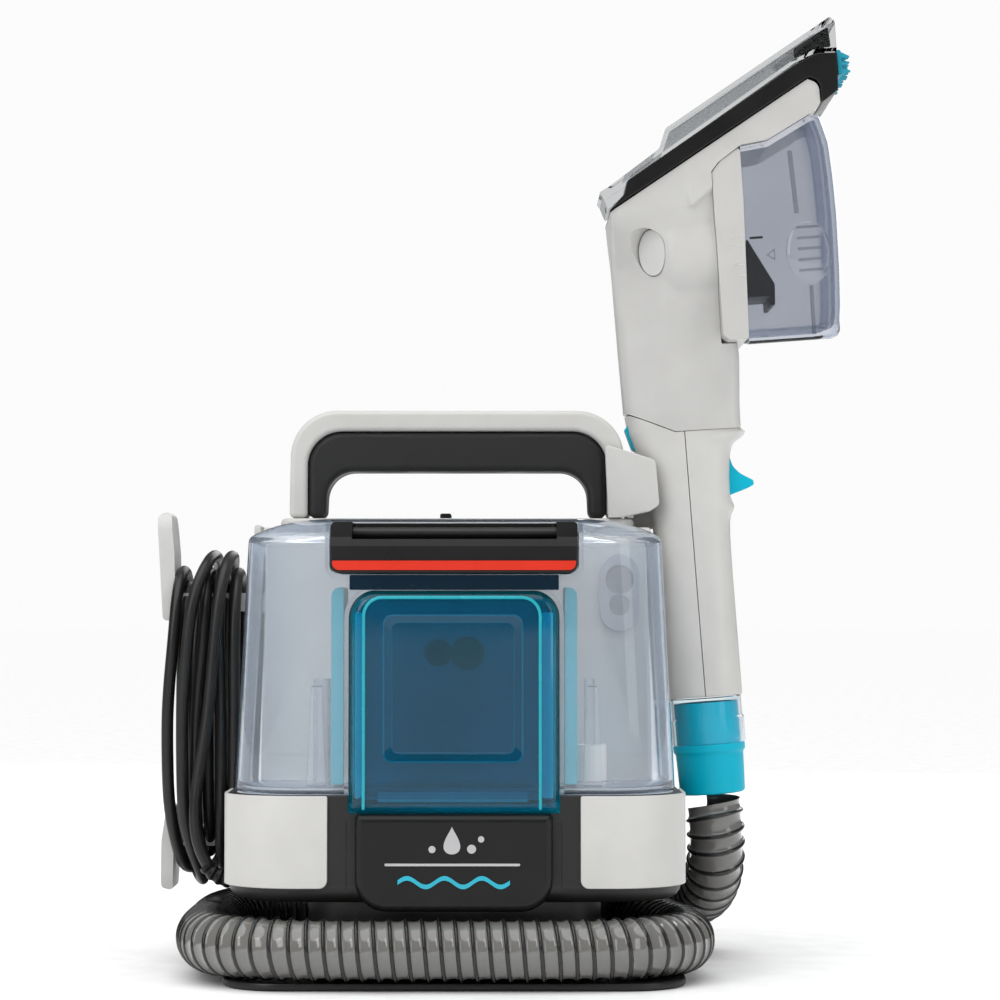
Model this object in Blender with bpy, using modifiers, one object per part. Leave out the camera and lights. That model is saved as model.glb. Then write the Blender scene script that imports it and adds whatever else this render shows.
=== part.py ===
"""A portable carpet and upholstery cleaner: tanks, base, hand wand, suction hose and wound power cord."""

import math

import bmesh
import bpy
from mathutils import Matrix, Vector

MM = 0.001
GAP = 0.3 * MM  # air left between pieces that touch

# Base and body. X is to the right, -Y is the front, and the floor is at z = 0.
FOOT_HALF_WIDTH = 125.5 * MM
FOOT_FRONT_Y = -119 * MM
FOOT_BACK_Y = 112 * MM
FOOT_THICKNESS = 4 * MM
FOOT_CORNER = 33 * MM
PEDESTAL_HALF_WIDTH = 80 * MM
PEDESTAL_FRONT_Y = -95 * MM
HOUSING_BOTTOM = 45 * MM
HOUSING_TOP = 102.7 * MM
HOUSING_HALF_WIDTH = 124.5 * MM
HOUSING_FRONT_Y = -104 * MM
HOUSING_CORNER = 40 * MM
HOUSING_WALL = 4 * MM
BODY_CORNER_STEPS = 6
BODY_BACK_Y = 100 * MM
BODY_HALF_WIDTH = 114 * MM
BODY_FRONT_Y = -2 * MM
BODY_TOP = 250 * MM
BODY_CORNER = 30 * MM
BODY_WALL = 3 * MM
COVER_TOP = 255.5 * MM

# Tanks.
TANK_HALF_WIDTH_LOW = 121 * MM
TANK_HALF_WIDTH_HIGH = 114 * MM
TANK_BACK_Y = -6 * MM
TANK_SHOULDER = 240 * MM
TANK_TOP = 253 * MM
TANK_WALL = 2.5 * MM
SOLUTION_HALF_WIDTH = 56.5 * MM
SOLUTION_FRONT_Y = -110 * MM
SOLUTION_BACK_Y = -46 * MM
SOLUTION_BOTTOM = 93.3 * MM
SOLUTION_TOP = 212.7 * MM
BAY_BACK_Y = -40.5 * MM
LATCH_HALF_WIDTH = 66.7 * MM
LATCH_FRONT_Y = -107.5 * MM
LATCH_BACK_Y = -62 * MM
LATCH_BOTTOM = 222 * MM
LATCH_TOP = 250 * MM
LATCH_PIVOT = Vector((0, -66 * MM, 245 * MM))
LATCH_SWING_GAP = 2 * MM

# Handle.
HANDLE_Y = 25 * MM
HANDLE_HALF_WIDTH = 96.5 * MM
HANDLE_TOP = 318 * MM
HANDLE_SHELL = 10 * MM
GRIP_OPENING_HALF_WIDTH = 75.5 * MM
GRIP_OPENING_TOP = 282.7 * MM

# Wand. Its own frame starts at the hose cuff's mouth, with z along the wand, which leans towards the handle.
WAND_ORIGIN = Vector((148.6 * MM, 28 * MM, 94.2 * MM))
WAND_LEAN = math.radians(4.4)
GRIP_HALF_DEPTH = 20 * MM
NOZZLE_HALF_DEPTH = 43 * MM
CUP_HALF_DEPTH = 36 * MM
SEAM_L = -1 * MM

# Hose and cord.
HOSE_RADIUS = 17 * MM
HOSE_Z = FOOT_THICKNESS + HOSE_RADIUS + GAP
CORD_RADIUS = 3.5 * MM
GLAND_RADIUS = 5.8 * MM
GLAND_TIP_RADIUS = 4.2 * MM
HANK_Y = 36 * MM
HANK_TOP = 238 * MM
HANK_BOTTOM = 41 * MM
HANK_HALF_WIDTH = 45 * MM
HANK_BUILD = 21 * MM
HANK_INNER_X = -124.3 * MM
HANK_OUTER_X = -163.7 * MM


# ---------------------------------------------------------------- scene and materials


def clear_scene():
    for item in list(bpy.data.objects):
        bpy.data.objects.remove(item, do_unlink=True)


def new_collection(name):
    collection = bpy.data.collections.new(name)
    bpy.context.scene.collection.children.link(collection)
    return collection


def new_material(name, color, roughness, metallic=0.0, alpha=1.0):
    material = bpy.data.materials.new(name)
    material.use_nodes = True
    shader = material.node_tree.nodes["Principled BSDF"]
    shader.inputs["Base Color"].default_value = (*color, 1)
    shader.inputs["Roughness"].default_value = roughness
    shader.inputs["Metallic"].default_value = metallic
    shader.inputs["Alpha"].default_value = alpha
    return material


clear_scene()
PARTS = new_collection("carpet_cleaner")
CUTTERS = new_collection("cutters")

WHITE = (0.62, 0.61, 0.58)
BLACK = (0.012, 0.012, 0.012)
TEAL = (0.0, 0.36, 0.50)
DARK_GREY = (0.05, 0.05, 0.055)
STEEL = (0.55, 0.55, 0.56)
COPPER = (0.55, 0.28, 0.14)
CLEAR_GREY = (0.45, 0.45, 0.44)
SMOKY_BLUE = (0.25, 0.36, 0.48)
DEEP_BLUE = (0.005, 0.13, 0.22)
RED = (0.85, 0.05, 0.02)
GREEN_BOARD = (0.02, 0.18, 0.06)


# ---------------------------------------------------------------- outlines


def fillet(corners, steps=4):
    """Points of a closed outline whose (x, y, radius) corners are rounded, in millimetres, as metres."""
    points = []
    count = len(corners)
    for index, (x, y, radius) in enumerate(corners):
        here = Vector((x, y))
        before = Vector(corners[index - 1][:2]) - here
        after = Vector(corners[(index + 1) % count][:2]) - here
        if radius <= 0:
            points.append(here * MM)
            continue
        half = before.angle(after) / 2
        reach = radius / math.tan(half)
        start = here + before.normalized() * reach
        end = here + after.normalized() * reach
        centre = here + (before.normalized() + after.normalized()).normalized() * radius / math.sin(half)
        first = start - centre
        turn = first.angle_signed(end - centre)
        for step in range(steps + 1):
            points.append((centre + Matrix.Rotation(-turn * step / steps, 2) @ first) * MM)
    return points


def rectangle(left, right, low, high, radius_low, radius_high, steps=4):
    """A rounded rectangle, counter-clockwise from its low left corner, all in metres."""
    corners = [
        (left / MM, low / MM, radius_low / MM),
        (right / MM, low / MM, radius_low / MM),
        (right / MM, high / MM, radius_high / MM),
        (left / MM, high / MM, radius_high / MM),
    ]
    return fillet(corners, steps)


def inset(points, distance):
    """A closed counter-clockwise outline moved inwards by one distance all round."""
    moved = []
    count = len(points)
    for index, point in enumerate(points):
        before = (point - points[index - 1]).normalized()
        after = (points[(index + 1) % count] - point).normalized()
        normal = Vector((-before.y - after.y, before.x + after.x)).normalized()
        lean = max(0.5, normal.dot(Vector((-before.y, before.x))))
        moved.append(point + normal * distance / lean)
    return moved


# ---------------------------------------------------------------- solids


def finish(obj, material, bevel=0.0, segments=2, smooth=True, parent=None):
    """Puts a new solid in the part's collection with its material, parent and rounded edges."""
    for collection in list(obj.users_collection):
        collection.objects.unlink(obj)
    PARTS.objects.link(obj)
    obj.data.materials.clear()
    obj.data.materials.append(material)
    if parent:
        obj.parent = parent
    if bevel:
        modifier = obj.modifiers.new("rounded edges", "BEVEL")
        modifier.width = bevel
        modifier.segments = segments
        modifier.limit_method = "ANGLE"
        modifier.angle_limit = math.radians(40)
    if smooth:
        obj.data.shade_smooth()
        obj.data.set_sharp_from_angle(angle=math.radians(35))
    return obj


def mesh_object(name, mesh_builder):
    mesh = bpy.data.meshes.new(name)
    build = bmesh.new()
    mesh_builder(build)
    bmesh.ops.recalc_face_normals(build, faces=build.faces)
    build.to_mesh(mesh)
    build.free()
    obj = bpy.data.objects.new(name, mesh)
    PARTS.objects.link(obj)
    return obj


def loft(name, sections):
    """A closed solid through outlines of equal point count, each at its own height."""

    def builder(build):
        rings = [[build.verts.new((p.x, p.y, z)) for p in outline] for z, outline in sections]
        for low, high in zip(rings, rings[1:]):
            for index in range(len(low)):
                after = (index + 1) % len(low)
                build.faces.new((low[index], low[after], high[after], high[index]))
        build.faces.new(reversed(rings[0]))
        build.faces.new(rings[-1])

    return mesh_object(name, builder)


def box(name, x, y, z):
    """A box from three (low, high) pairs in metres."""

    def builder(build):
        bmesh.ops.create_cube(build, size=1)
        size = (x[1] - x[0], y[1] - y[0], z[1] - z[0])
        bmesh.ops.scale(build, vec=size, verts=build.verts)
        centre = ((x[0] + x[1]) / 2, (y[0] + y[1]) / 2, (z[0] + z[1]) / 2)
        bmesh.ops.translate(build, vec=centre, verts=build.verts)

    return mesh_object(name, builder)


def rod(name, start, end, radius, segments=20, end_radius=None):
    """A cylinder or a cone between two points."""
    start = Vector(start)
    along = Vector(end) - start

    def builder(build):
        bmesh.ops.create_cone(
            build,
            cap_ends=True,
            segments=segments,
            radius1=radius,
            radius2=radius if end_radius is None else end_radius,
            depth=along.length,
        )
        turn = along.to_track_quat("Z", "Y").to_matrix().to_4x4()
        place = Matrix.Translation(start + along / 2) @ turn
        bmesh.ops.transform(build, matrix=place, verts=build.verts)

    return mesh_object(name, builder)


def plate(name, outline, y_low, y_high):
    """An outline in the X-Z plane with thickness along Y."""
    obj = loft(name, [(-y_high, outline), (-y_low, outline)])
    obj.data.transform(Matrix.Rotation(math.radians(90), 4, "X"))
    return obj


def turned(name, profile, steps=32):
    """A solid of revolution about Z. The (radius, height) profile runs down the outer side, in millimetres."""

    def builder(build):
        points = [build.verts.new((radius * MM, 0, height * MM)) for radius, height in profile]
        edges = [build.edges.new(pair) for pair in zip(points, points[1:])]
        if profile[0][0] > 0:
            edges.append(build.edges.new((points[-1], points[0])))
        bmesh.ops.spin(
            build,
            geom=points + edges,
            cent=(0, 0, 0),
            axis=(0, 0, 1),
            angle=math.tau,
            steps=steps,
            use_merge=True,
        )
        bmesh.ops.remove_doubles(build, verts=build.verts, dist=1e-6)

    return mesh_object(name, builder)


def tube(name, points, radius, resolution=3, end_radius=None):
    """A round tube along points in metres, which may narrow evenly to another radius at its end."""
    curve = bpy.data.curves.new(name, "CURVE")
    curve.dimensions = "3D"
    curve.bevel_depth = radius
    curve.bevel_resolution = resolution
    curve.use_fill_caps = True
    spline = curve.splines.new("POLY")
    spline.points.add(len(points) - 1)
    taper = 1 if end_radius is None else end_radius / radius
    for index, (target, point) in enumerate(zip(spline.points, points)):
        target.co = (*point, 1)
        target.radius = 1 + (taper - 1) * index / (len(points) - 1)
    obj = bpy.data.objects.new(name, curve)
    PARTS.objects.link(obj)
    return obj


def smooth_route(knots, spacing):
    """Evenly spaced points on a Catmull-Rom curve through knots in millimetres."""
    places = [Vector(knot) * MM for knot in knots]
    padded = [2 * places[0] - places[1], *places, 2 * places[-1] - places[-2]]
    fine = []
    for first, second, third, fourth in zip(padded, padded[1:], padded[2:], padded[3:]):
        for step in range(24):
            t = step / 24
            fine.append(
                0.5
                * (
                    2 * second
                    + (third - first) * t
                    + (2 * first - 5 * second + 4 * third - fourth) * t * t
                    + (3 * second - first - 3 * third + fourth) * t**3
                )
            )
    fine.append(places[-1])
    lengths = [0.0]
    for here, after in zip(fine, fine[1:]):
        lengths.append(lengths[-1] + (after - here).length)
    count = max(2, round(lengths[-1] / spacing))
    route = []
    place = 0
    for step in range(count + 1):
        target = lengths[-1] * step / count
        while place < len(lengths) - 2 and lengths[place + 1] < target:
            place += 1
        span = lengths[place + 1] - lengths[place]
        route.append(fine[place].lerp(fine[place + 1], (target - lengths[place]) / span))
    return route


def as_cutter(obj, parent=None):
    """Hides a solid so that it only serves Booleans."""
    for collection in list(obj.users_collection):
        collection.objects.unlink(obj)
    CUTTERS.objects.link(obj)
    obj.hide_render = True
    obj.display_type = "WIRE"
    if parent:
        obj.parent = parent
    return obj


def combine(obj, cutter, operation="DIFFERENCE"):
    modifier = obj.modifiers.new(cutter.name, "BOOLEAN")
    modifier.operation = operation
    modifier.object = cutter
    return obj


# ---------------------------------------------------------------- base


def body_outline(half_width, back_half_width, front, back, corner, back_corner):
    """The plan of the lower body: wide at the front, stepping in behind the side panels."""
    step_y = -14
    corners = [
        (-half_width / MM, front / MM, corner / MM),
        (half_width / MM, front / MM, corner / MM),
        (half_width / MM, step_y, 9),
        (back_half_width / MM, step_y + 14, 4),
        (back_half_width / MM, back / MM, back_corner / MM),
        (-back_half_width / MM, back / MM, back_corner / MM),
        (-back_half_width / MM, step_y + 14, 4),
        (-half_width / MM, step_y, 9),
    ]
    return fillet(corners, BODY_CORNER_STEPS)


def make_base():
    plastic = new_material("base_plastic", BLACK, 0.45)
    foot = rectangle(
        -FOOT_HALF_WIDTH, FOOT_HALF_WIDTH, FOOT_FRONT_Y, FOOT_BACK_Y, FOOT_CORNER, FOOT_CORNER, 6
    )
    island = rectangle(
        -PEDESTAL_HALF_WIDTH, PEDESTAL_HALF_WIDTH, PEDESTAL_FRONT_Y, BODY_BACK_Y, 20 * MM, 20 * MM, 6
    )
    top = HOUSING_BOTTOM - GAP
    sections = [
        (0, inset(foot, MM)),
        (MM, foot),
        (FOOT_THICKNESS - MM / 2, foot),
        (FOOT_THICKNESS, inset(foot, MM / 2)),
        (FOOT_THICKNESS, island),
        (top, island),
    ]
    base = loft("base_foot", sections)
    rubber = new_material("rubber_foot", DARK_GREY, 0.8)
    for side, x in (("left", -95 * MM), ("right", 95 * MM)):
        for end, y in (("front", -88 * MM), ("back", 84 * MM)):
            pocket = rod(f"{end}_{side}_foot_pocket", (x, y, -MM), (x, y, 2.5 * MM), 9.3 * MM, 24)
            combine(base, as_cutter(pocket))
            pad = rod(f"rubber_foot_{end}_{side}", (x, y, 0), (x, y, 2.2 * MM), 9 * MM, 24)
            finish(pad, rubber)
    finish(base, plastic)


def make_lower_housing():
    plastic = new_material("housing_plastic", BLACK, 0.42)
    outline = body_outline(
        HOUSING_HALF_WIDTH, BODY_HALF_WIDTH, HOUSING_FRONT_Y, BODY_BACK_Y, HOUSING_CORNER, BODY_CORNER
    )
    sections = [
        (HOUSING_BOTTOM, inset(outline, 3 * MM)),
        (HOUSING_BOTTOM + 3 * MM, outline),
        (HOUSING_TOP, outline),
    ]
    housing = loft("lower_housing", sections)
    inner = inset(outline, HOUSING_WALL)
    room = loft("housing_room", [(HOUSING_BOTTOM + HOUSING_WALL, inner), (HOUSING_TOP + MM, inner)])
    combine(housing, as_cutter(room))
    seat_half = SOLUTION_HALF_WIDTH + 2 * GAP
    seat = box(
        "solution_seat",
        (-seat_half, seat_half),
        (-140 * MM, SOLUTION_BACK_Y + 2 * GAP),
        (SOLUTION_BOTTOM - GAP, 120 * MM),
    )
    combine(housing, as_cutter(seat))
    finish(housing, plastic)
    deck_outline = inset(outline, HOUSING_WALL + GAP)
    deck = loft("tank_deck", [(HOUSING_TOP - 14 * MM, deck_outline), (HOUSING_TOP, deck_outline)])
    duct = rod("deck_duct_hole", (55 * MM, 55 * MM, 80 * MM), (55 * MM, 55 * MM, 110 * MM), 13 * MM, 24)
    combine(deck, as_cutter(duct))
    combine(deck, seat)
    finish(deck, new_material("deck_plastic", BLACK, 0.5))


def make_side_panels():
    """Two white skins that wrap the front corners of the lower housing."""
    white = new_material("panel_white", WHITE, 0.35)
    outer_x = HOUSING_HALF_WIDTH / MM + 2.3
    outer_y = HOUSING_FRONT_Y / MM - 2.3
    inner_x = HOUSING_HALF_WIDTH / MM + 0.3
    inner_y = HOUSING_FRONT_Y / MM - 0.3
    corner = HOUSING_CORNER / MM
    back_y = -30
    for side, sign in (("left", -1), ("right", 1)):
        corners = [
            (sign * 68, outer_y, 1),
            (sign * outer_x, outer_y, corner + 2.3),
            (sign * outer_x, back_y, 1),
            (sign * inner_x, back_y, 0),
            (sign * inner_x, inner_y, corner + 0.3),
            (sign * 68, inner_y, 0),
        ]
        skin = fillet(corners if sign > 0 else corners[::-1], BODY_CORNER_STEPS)
        panel = loft(f"side_panel_{side}", [(53 * MM, skin), (100.5 * MM, skin)])
        finish(panel, white)


def make_badge_panel():
    corners = [(-53, 93, 3), (-53, 40.8, 17), (53, 40.8, 17), (53, 93, 3)]
    badge = plate("badge_panel", fillet(corners, 5), -112 * MM, HOUSING_FRONT_Y - GAP)
    finish(badge, new_material("badge_black", BLACK, 0.3), bevel=2 * MM)
    line = box("badge_line", (-38 * MM, 36 * MM), (-112.8 * MM, -112.3 * MM), (66 * MM, 67.6 * MM))
    finish(line, new_material("badge_line_silver", (0.6, 0.6, 0.6), 0.25, 0.9))


def make_body():
    """The tall body behind the tanks, open underneath, with its white top cover."""
    outline = rectangle(
        -BODY_HALF_WIDTH, BODY_HALF_WIDTH, BODY_FRONT_Y, BODY_BACK_Y, 4 * MM, BODY_CORNER
    )
    bottom = HOUSING_TOP + GAP
    sections = [(bottom, outline), (BODY_TOP - 8 * MM, outline), (BODY_TOP, inset(outline, 6 * MM))]
    body = loft("rear_housing", sections)
    inner = inset(outline, BODY_WALL)
    room = loft(
        "body_room",
        [(bottom - MM, inner), (BODY_TOP - 11 * MM, inner), (BODY_TOP - BODY_WALL, inset(inner, 5 * MM))],
    )
    combine(body, as_cutter(room))
    for index in range(5):
        z = (150 + 12 * index) * MM
        slot = box(f"exhaust_slot_{index}", (-40 * MM, 40 * MM), (90 * MM, 110 * MM), (z, z + 4 * MM))
        combine(body, as_cutter(slot))
    port_x, port_z = 93.7 * MM, 219.9 * MM
    port = rod("suction_port_hole", (port_x, -10 * MM, port_z), (port_x, 5 * MM, port_z), 7 * MM)
    combine(body, as_cutter(port))
    finish(body, new_material("body_white", WHITE, 0.4))
    cover_outline = rectangle(-102 * MM, 102 * MM, 3 * MM, 88 * MM, 10 * MM, 24 * MM)
    cover = loft(
        "top_cover",
        [
            (BODY_TOP + GAP, cover_outline),
            (COVER_TOP - 2 * MM, cover_outline),
            (COVER_TOP, inset(cover_outline, 2 * MM)),
        ],
    )
    well = box("button_well", (-10.3 * MM, -3.2 * MM), (13.7 * MM, 30.3 * MM), (251.2 * MM, 260 * MM))
    combine(cover, as_cutter(well))
    finish(cover, new_material("cover_white", WHITE, 0.4))
    button = box("power_button", (-10 * MM, -3.5 * MM), (14 * MM, 30 * MM), (253.4 * MM, 258.6 * MM))
    button.data.transform(Matrix.Translation((6.75 * MM, -22 * MM, -256 * MM)))
    button.location = (-6.75 * MM, 22 * MM, 256 * MM)
    finish(button, new_material("button_grey", DARK_GREY, 0.5), bevel=0.8 * MM, segments=1)


def arch(half_width, foot_width, low, top, radius):
    """The corners of an arch, from its left foot over the top to its right foot."""
    return [(-foot_width, low, 0), (-half_width, top, radius), (half_width, top, radius), (foot_width, low, 0)]


def make_handle():
    low = COVER_TOP / MM + 0.3
    half = HANDLE_HALF_WIDTH / MM
    top = HANDLE_TOP / MM
    shell = HANDLE_SHELL / MM
    outer = arch(half - 0.5, half + 0.5, low, top, 27)
    inner = arch(half - shell, half - shell, low, top - shell - 2, 20)
    shell_solid = plate(
        "handle_shell", fillet(outer + inner[::-1], 5), HANDLE_Y - 16 * MM, HANDLE_Y + 16 * MM
    )
    finish(shell_solid, new_material("handle_white", WHITE, 0.35), bevel=2.5 * MM)
    opening = GRIP_OPENING_HALF_WIDTH / MM
    grip_outer = arch(half - shell - 0.3, half - shell - 0.3, low, top - shell - 2.3, 19.7)
    grip_inner = arch(opening - 0.8, opening + 0.5, low, GRIP_OPENING_TOP / MM, 16)
    grip = plate(
        "handle_grip", fillet(grip_outer + grip_inner[::-1], 5), HANDLE_Y - 15 * MM, HANDLE_Y + 15 * MM
    )
    finish(grip, new_material("grip_rubber", (0.02, 0.02, 0.02), 0.7), bevel=3.5 * MM)


def make_holster():
    """The bracket that holds the wand: a wing before it, a wing behind it and a web beside the handle."""
    white = new_material("holster_white", WHITE, 0.38)
    front = [
        (85, 298, 2),
        (87, 253.6, 2),
        (95, 255.7, 4),
        (111, 259.4, 3),
        (116.4, 263, 3),
        (114.3, 289, 3),
        (98.4, 294, 4),
    ]
    wing = plate("wand_holster", fillet(front, 3), 0.5 * MM, 6 * MM)
    plan = fillet(
        [(98, 3, 0), (101.5, 3, 0), (101.5, 48.8, 2), (128, 48.8, 0), (128, 53, 2), (98, 53, 3)], 3
    )
    web = loft("holster_web", [(BODY_TOP + 2 * GAP, plan), (291 * MM, plan)])
    combine(wing, as_cutter(web), "UNION")
    notch = box(
        "holster_cover_notch", (80 * MM, 102.6 * MM), (-5 * MM, 90 * MM), (245 * MM, COVER_TOP + GAP)
    )
    combine(wing, as_cutter(notch))
    finish(wing, white)


def make_cord_hooks():
    """Two arms on the left side with flanges that keep the wound cord on."""
    white = new_material("hook_white", WHITE, 0.4)
    y_low = HANK_Y - 18 * MM
    y_high = HANK_Y + 18 * MM
    upper = [
        (-114.3, 202, 0),
        (-114.3, 248, 1),
        (-120.5, 248, 1),
        (-120.5, 212.5, 0),
        (-164, 212.5, 0),
        (-164, 240, 10),
        (-166.5, 260, 3),
        (-174.5, 258, 4),
        (-170.5, 196, 2),
        (-164, 196, 2),
        (-162, 202, 1),
    ]
    finish(plate("cord_hook_upper", fillet(upper, 3), y_low, y_high), white, bevel=1.5 * MM)
    lower = [
        (-114.3, 66.5, 0),
        (-114.3, 77, 0),
        (-164, 77, 1),
        (-164, 88, 2),
        (-168, 90, 2),
        (-171, 70, 4),
        (-171, 42, 2),
        (-164.2, 40, 2),
        (-164, 66.5, 0),
    ]
    finish(plate("cord_hook_lower", fillet(lower, 3), y_low, y_high), white, bevel=1.2 * MM)


# ---------------------------------------------------------------- machinery inside the body


def make_machinery():
    steel = new_material("machine_steel", STEEL, 0.35, 0.8)
    black = new_material("machine_black", BLACK, 0.5)
    axis_x = -20 * MM
    axis_y = 49 * MM
    motor = rod("suction_motor", (axis_x, axis_y, 130 * MM), (axis_x, axis_y, 190 * MM), 38 * MM, 32)
    finish(motor, steel, bevel=3 * MM)
    scroll = rod("fan_housing", (axis_x, axis_y, 194 * MM), (axis_x, axis_y, 228 * MM), 43.5 * MM, 32)
    chamber = rod("fan_chamber", (axis_x, axis_y, 197 * MM), (axis_x, axis_y, 225 * MM), 40.5 * MM, 32)
    inlet = rod("fan_inlet", (axis_x, axis_y, 222 * MM), (axis_x, axis_y, 235 * MM), 14 * MM, 24)
    outlet = box("fan_outlet", (-45 * MM, 5 * MM), (80 * MM, 96 * MM), (202 * MM, 220 * MM))
    bearing = rod("fan_shaft_hole", (axis_x, axis_y, 190 * MM), (axis_x, axis_y, 200 * MM), 4 * MM, 20)
    for cutter in (chamber, inlet, outlet, bearing):
        combine(scroll, as_cutter(cutter))
    finish(scroll, black)
    impeller = rod("impeller", (0, 0, 0), (0, 0, 3 * MM), 36 * MM, 32)
    blade = rod("impeller_hub", (0, 0, -9.5 * MM), (0, 0, 12 * MM), 3 * MM, 16)
    combine(impeller, as_cutter(blade, impeller), "UNION")
    for index in range(6):
        vane = box(f"impeller_vane_{index}", (4 * MM, 34 * MM), (-MM, MM), (2 * MM, 12 * MM))
        vane.data.transform(Matrix.Rotation(math.tau * index / 6, 4, "Z"))
        combine(impeller, as_cutter(vane, impeller), "UNION")
    impeller.location = (axis_x, axis_y, 201 * MM)
    finish(impeller, new_material("impeller_metal", STEEL, 0.3, 0.9), smooth=False)
    pump = box("water_pump", (45 * MM, 90 * MM), (-60 * MM, -30 * MM), (50 * MM, 85 * MM))
    finish(pump, new_material("pump_grey", DARK_GREY, 0.5), bevel=2 * MM)
    pump_route = [(60, -29.5, 70), (60, -20, 70), (48, 2, 70), (20, 30, 70), (-20, 60, 70)]
    pump_tube = tube("pump_tube", smooth_route(pump_route, 12 * MM), 3 * MM, 2)
    finish_curve(pump_tube, new_material("pump_tube_clear", CLEAR_GREY, 0.3))
    board = box("control_board", (-90 * MM, -30 * MM), (-70 * MM, -25 * MM), (50 * MM, 52 * MM))
    finish(board, new_material("board_green", GREEN_BOARD, 0.5))
    switch = box("power_switch", (-14 * MM, 0.5 * MM), (12 * MM, 32 * MM), (233 * MM, 246.5 * MM))
    finish(switch, new_material("switch_black", BLACK, 0.4), bevel=MM, segments=1)


def finish_curve(obj, material):
    obj.data.materials.append(material)
    return obj


# ---------------------------------------------------------------- tanks


def tank_outline(half_width, grow=0.0):
    return inset(
        rectangle(-half_width, half_width, HOUSING_FRONT_Y, TANK_BACK_Y, 38 * MM, 8 * MM, 5), -grow
    )


def bay(name, grow):
    """The space before the recovery tank that the solution tank fills."""
    half = SOLUTION_HALF_WIDTH + GAP + grow
    top = SOLUTION_TOP + GAP + grow
    low = 80 * MM
    outline = rectangle(-half, half, low, top, 0, 15 * MM + grow)
    return plate(name, outline, -140 * MM, BAY_BACK_Y + grow)


def latch_seat(name, grow):
    half = LATCH_HALF_WIDTH + 2 * GAP + grow
    return box(
        name,
        (-half, half),
        (-140 * MM, LATCH_BACK_Y + LATCH_SWING_GAP + grow),
        (LATCH_BOTTOM - 2 * GAP - grow, 300 * MM),
    )


def tank_width(z):
    share = (z - HOUSING_TOP) / (TANK_SHOULDER - HOUSING_TOP)
    return TANK_HALF_WIDTH_LOW + (TANK_HALF_WIDTH_HIGH - TANK_HALF_WIDTH_LOW) * share


def make_recovery_tank():
    smoky = new_material("tank_smoky", SMOKY_BLUE, 0.05, alpha=0.45)
    low = HOUSING_TOP + GAP
    foot = tank_outline(tank_width(low))
    shoulder = tank_outline(tank_width(TANK_SHOULDER))
    tank = loft(
        "recovery_tank",
        [(low, inset(foot, 2.5 * MM)), (low + 2.5 * MM, foot), (TANK_SHOULDER, shoulder)],
    )
    room_low = inset(foot, TANK_WALL)
    room_high = inset(shoulder, TANK_WALL)
    room = as_cutter(loft("tank_room", [(low + TANK_WALL, room_low), (TANK_SHOULDER + MM, room_high)]))
    combine(room, as_cutter(bay("bay_wall", TANK_WALL)))
    combine(room, as_cutter(latch_seat("seat_wall", TANK_WALL)))
    combine(tank, as_cutter(bay("tank_bay", 0)))
    combine(tank, as_cutter(latch_seat("tank_latch_seat", 0)))
    combine(tank, room)
    pin_hole = rod("latch_pin_hole", (-68.6 * MM, 0, 0), (68.6 * MM, 0, 0), 2.4 * MM, 16)
    pin_hole.location = LATCH_PIVOT
    as_cutter(pin_hole)
    finish(tank, smoky)
    pin = rod("latch_pin", (-68.2 * MM, 0, 0), (68.2 * MM, 0, 0), 2 * MM, 16)
    pin.location = LATCH_PIVOT
    finish(pin, new_material("pin_steel", STEEL, 0.3, 0.9))
    return pin_hole


def make_tank_lid(pin_hole):
    outline = tank_outline(TANK_HALF_WIDTH_HIGH)
    raised = rectangle(-97 * MM, 97 * MM, -76 * MM, TANK_BACK_Y - 4 * MM, 26 * MM, 6 * MM, 5)
    low = TANK_SHOULDER + GAP
    lid = loft("tank_lid", [(low, outline), (low + 2 * MM, outline), (TANK_TOP, raised)])
    room = loft(
        "lid_room",
        [
            (low - MM, inset(outline, TANK_WALL)),
            (low + MM, inset(outline, TANK_WALL)),
            (TANK_TOP - TANK_WALL, inset(raised, TANK_WALL)),
        ],
    )
    combine(as_cutter(room), as_cutter(latch_seat("lid_seat_wall", TANK_WALL)))
    combine(lid, as_cutter(latch_seat("lid_latch_seat", 0)))
    combine(lid, room)
    combine(lid, pin_hole)
    finish(lid, new_material("lid_smoky", SMOKY_BLUE, 0.05, alpha=0.45))


def make_tank_insides():
    """The pipe that brings dirty water up, and the float that shuts the air way when the tank is full."""
    clear = new_material("pipe_smoky", SMOKY_BLUE, 0.1, alpha=0.5)
    y, low, top = -32 * MM, 105.9 * MM, 164 * MM
    pipe_x = -75 * MM
    pipe = rod("inlet_pipe", (pipe_x, y, low), (pipe_x, y, top), 5 * MM, 24)
    bore = rod("inlet_pipe_bore", (pipe_x, y, low + 2 * MM), (pipe_x, y, top + 5 * MM), 3.5 * MM, 24)
    combine(pipe, as_cutter(bore))
    finish(pipe, clear)
    guide_x = 75 * MM
    guide = rod("float_guide", (guide_x, y, low), (guide_x, y, top), 3 * MM, 20)
    finish(guide, clear)
    floater = turned("tank_float", [(9.5, 10), (9.5, -10), (3.6, -10), (3.6, 10)], 24)
    floater.location = (guide_x, y, 117 * MM)
    finish(floater, new_material("float_white", WHITE, 0.5))


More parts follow.
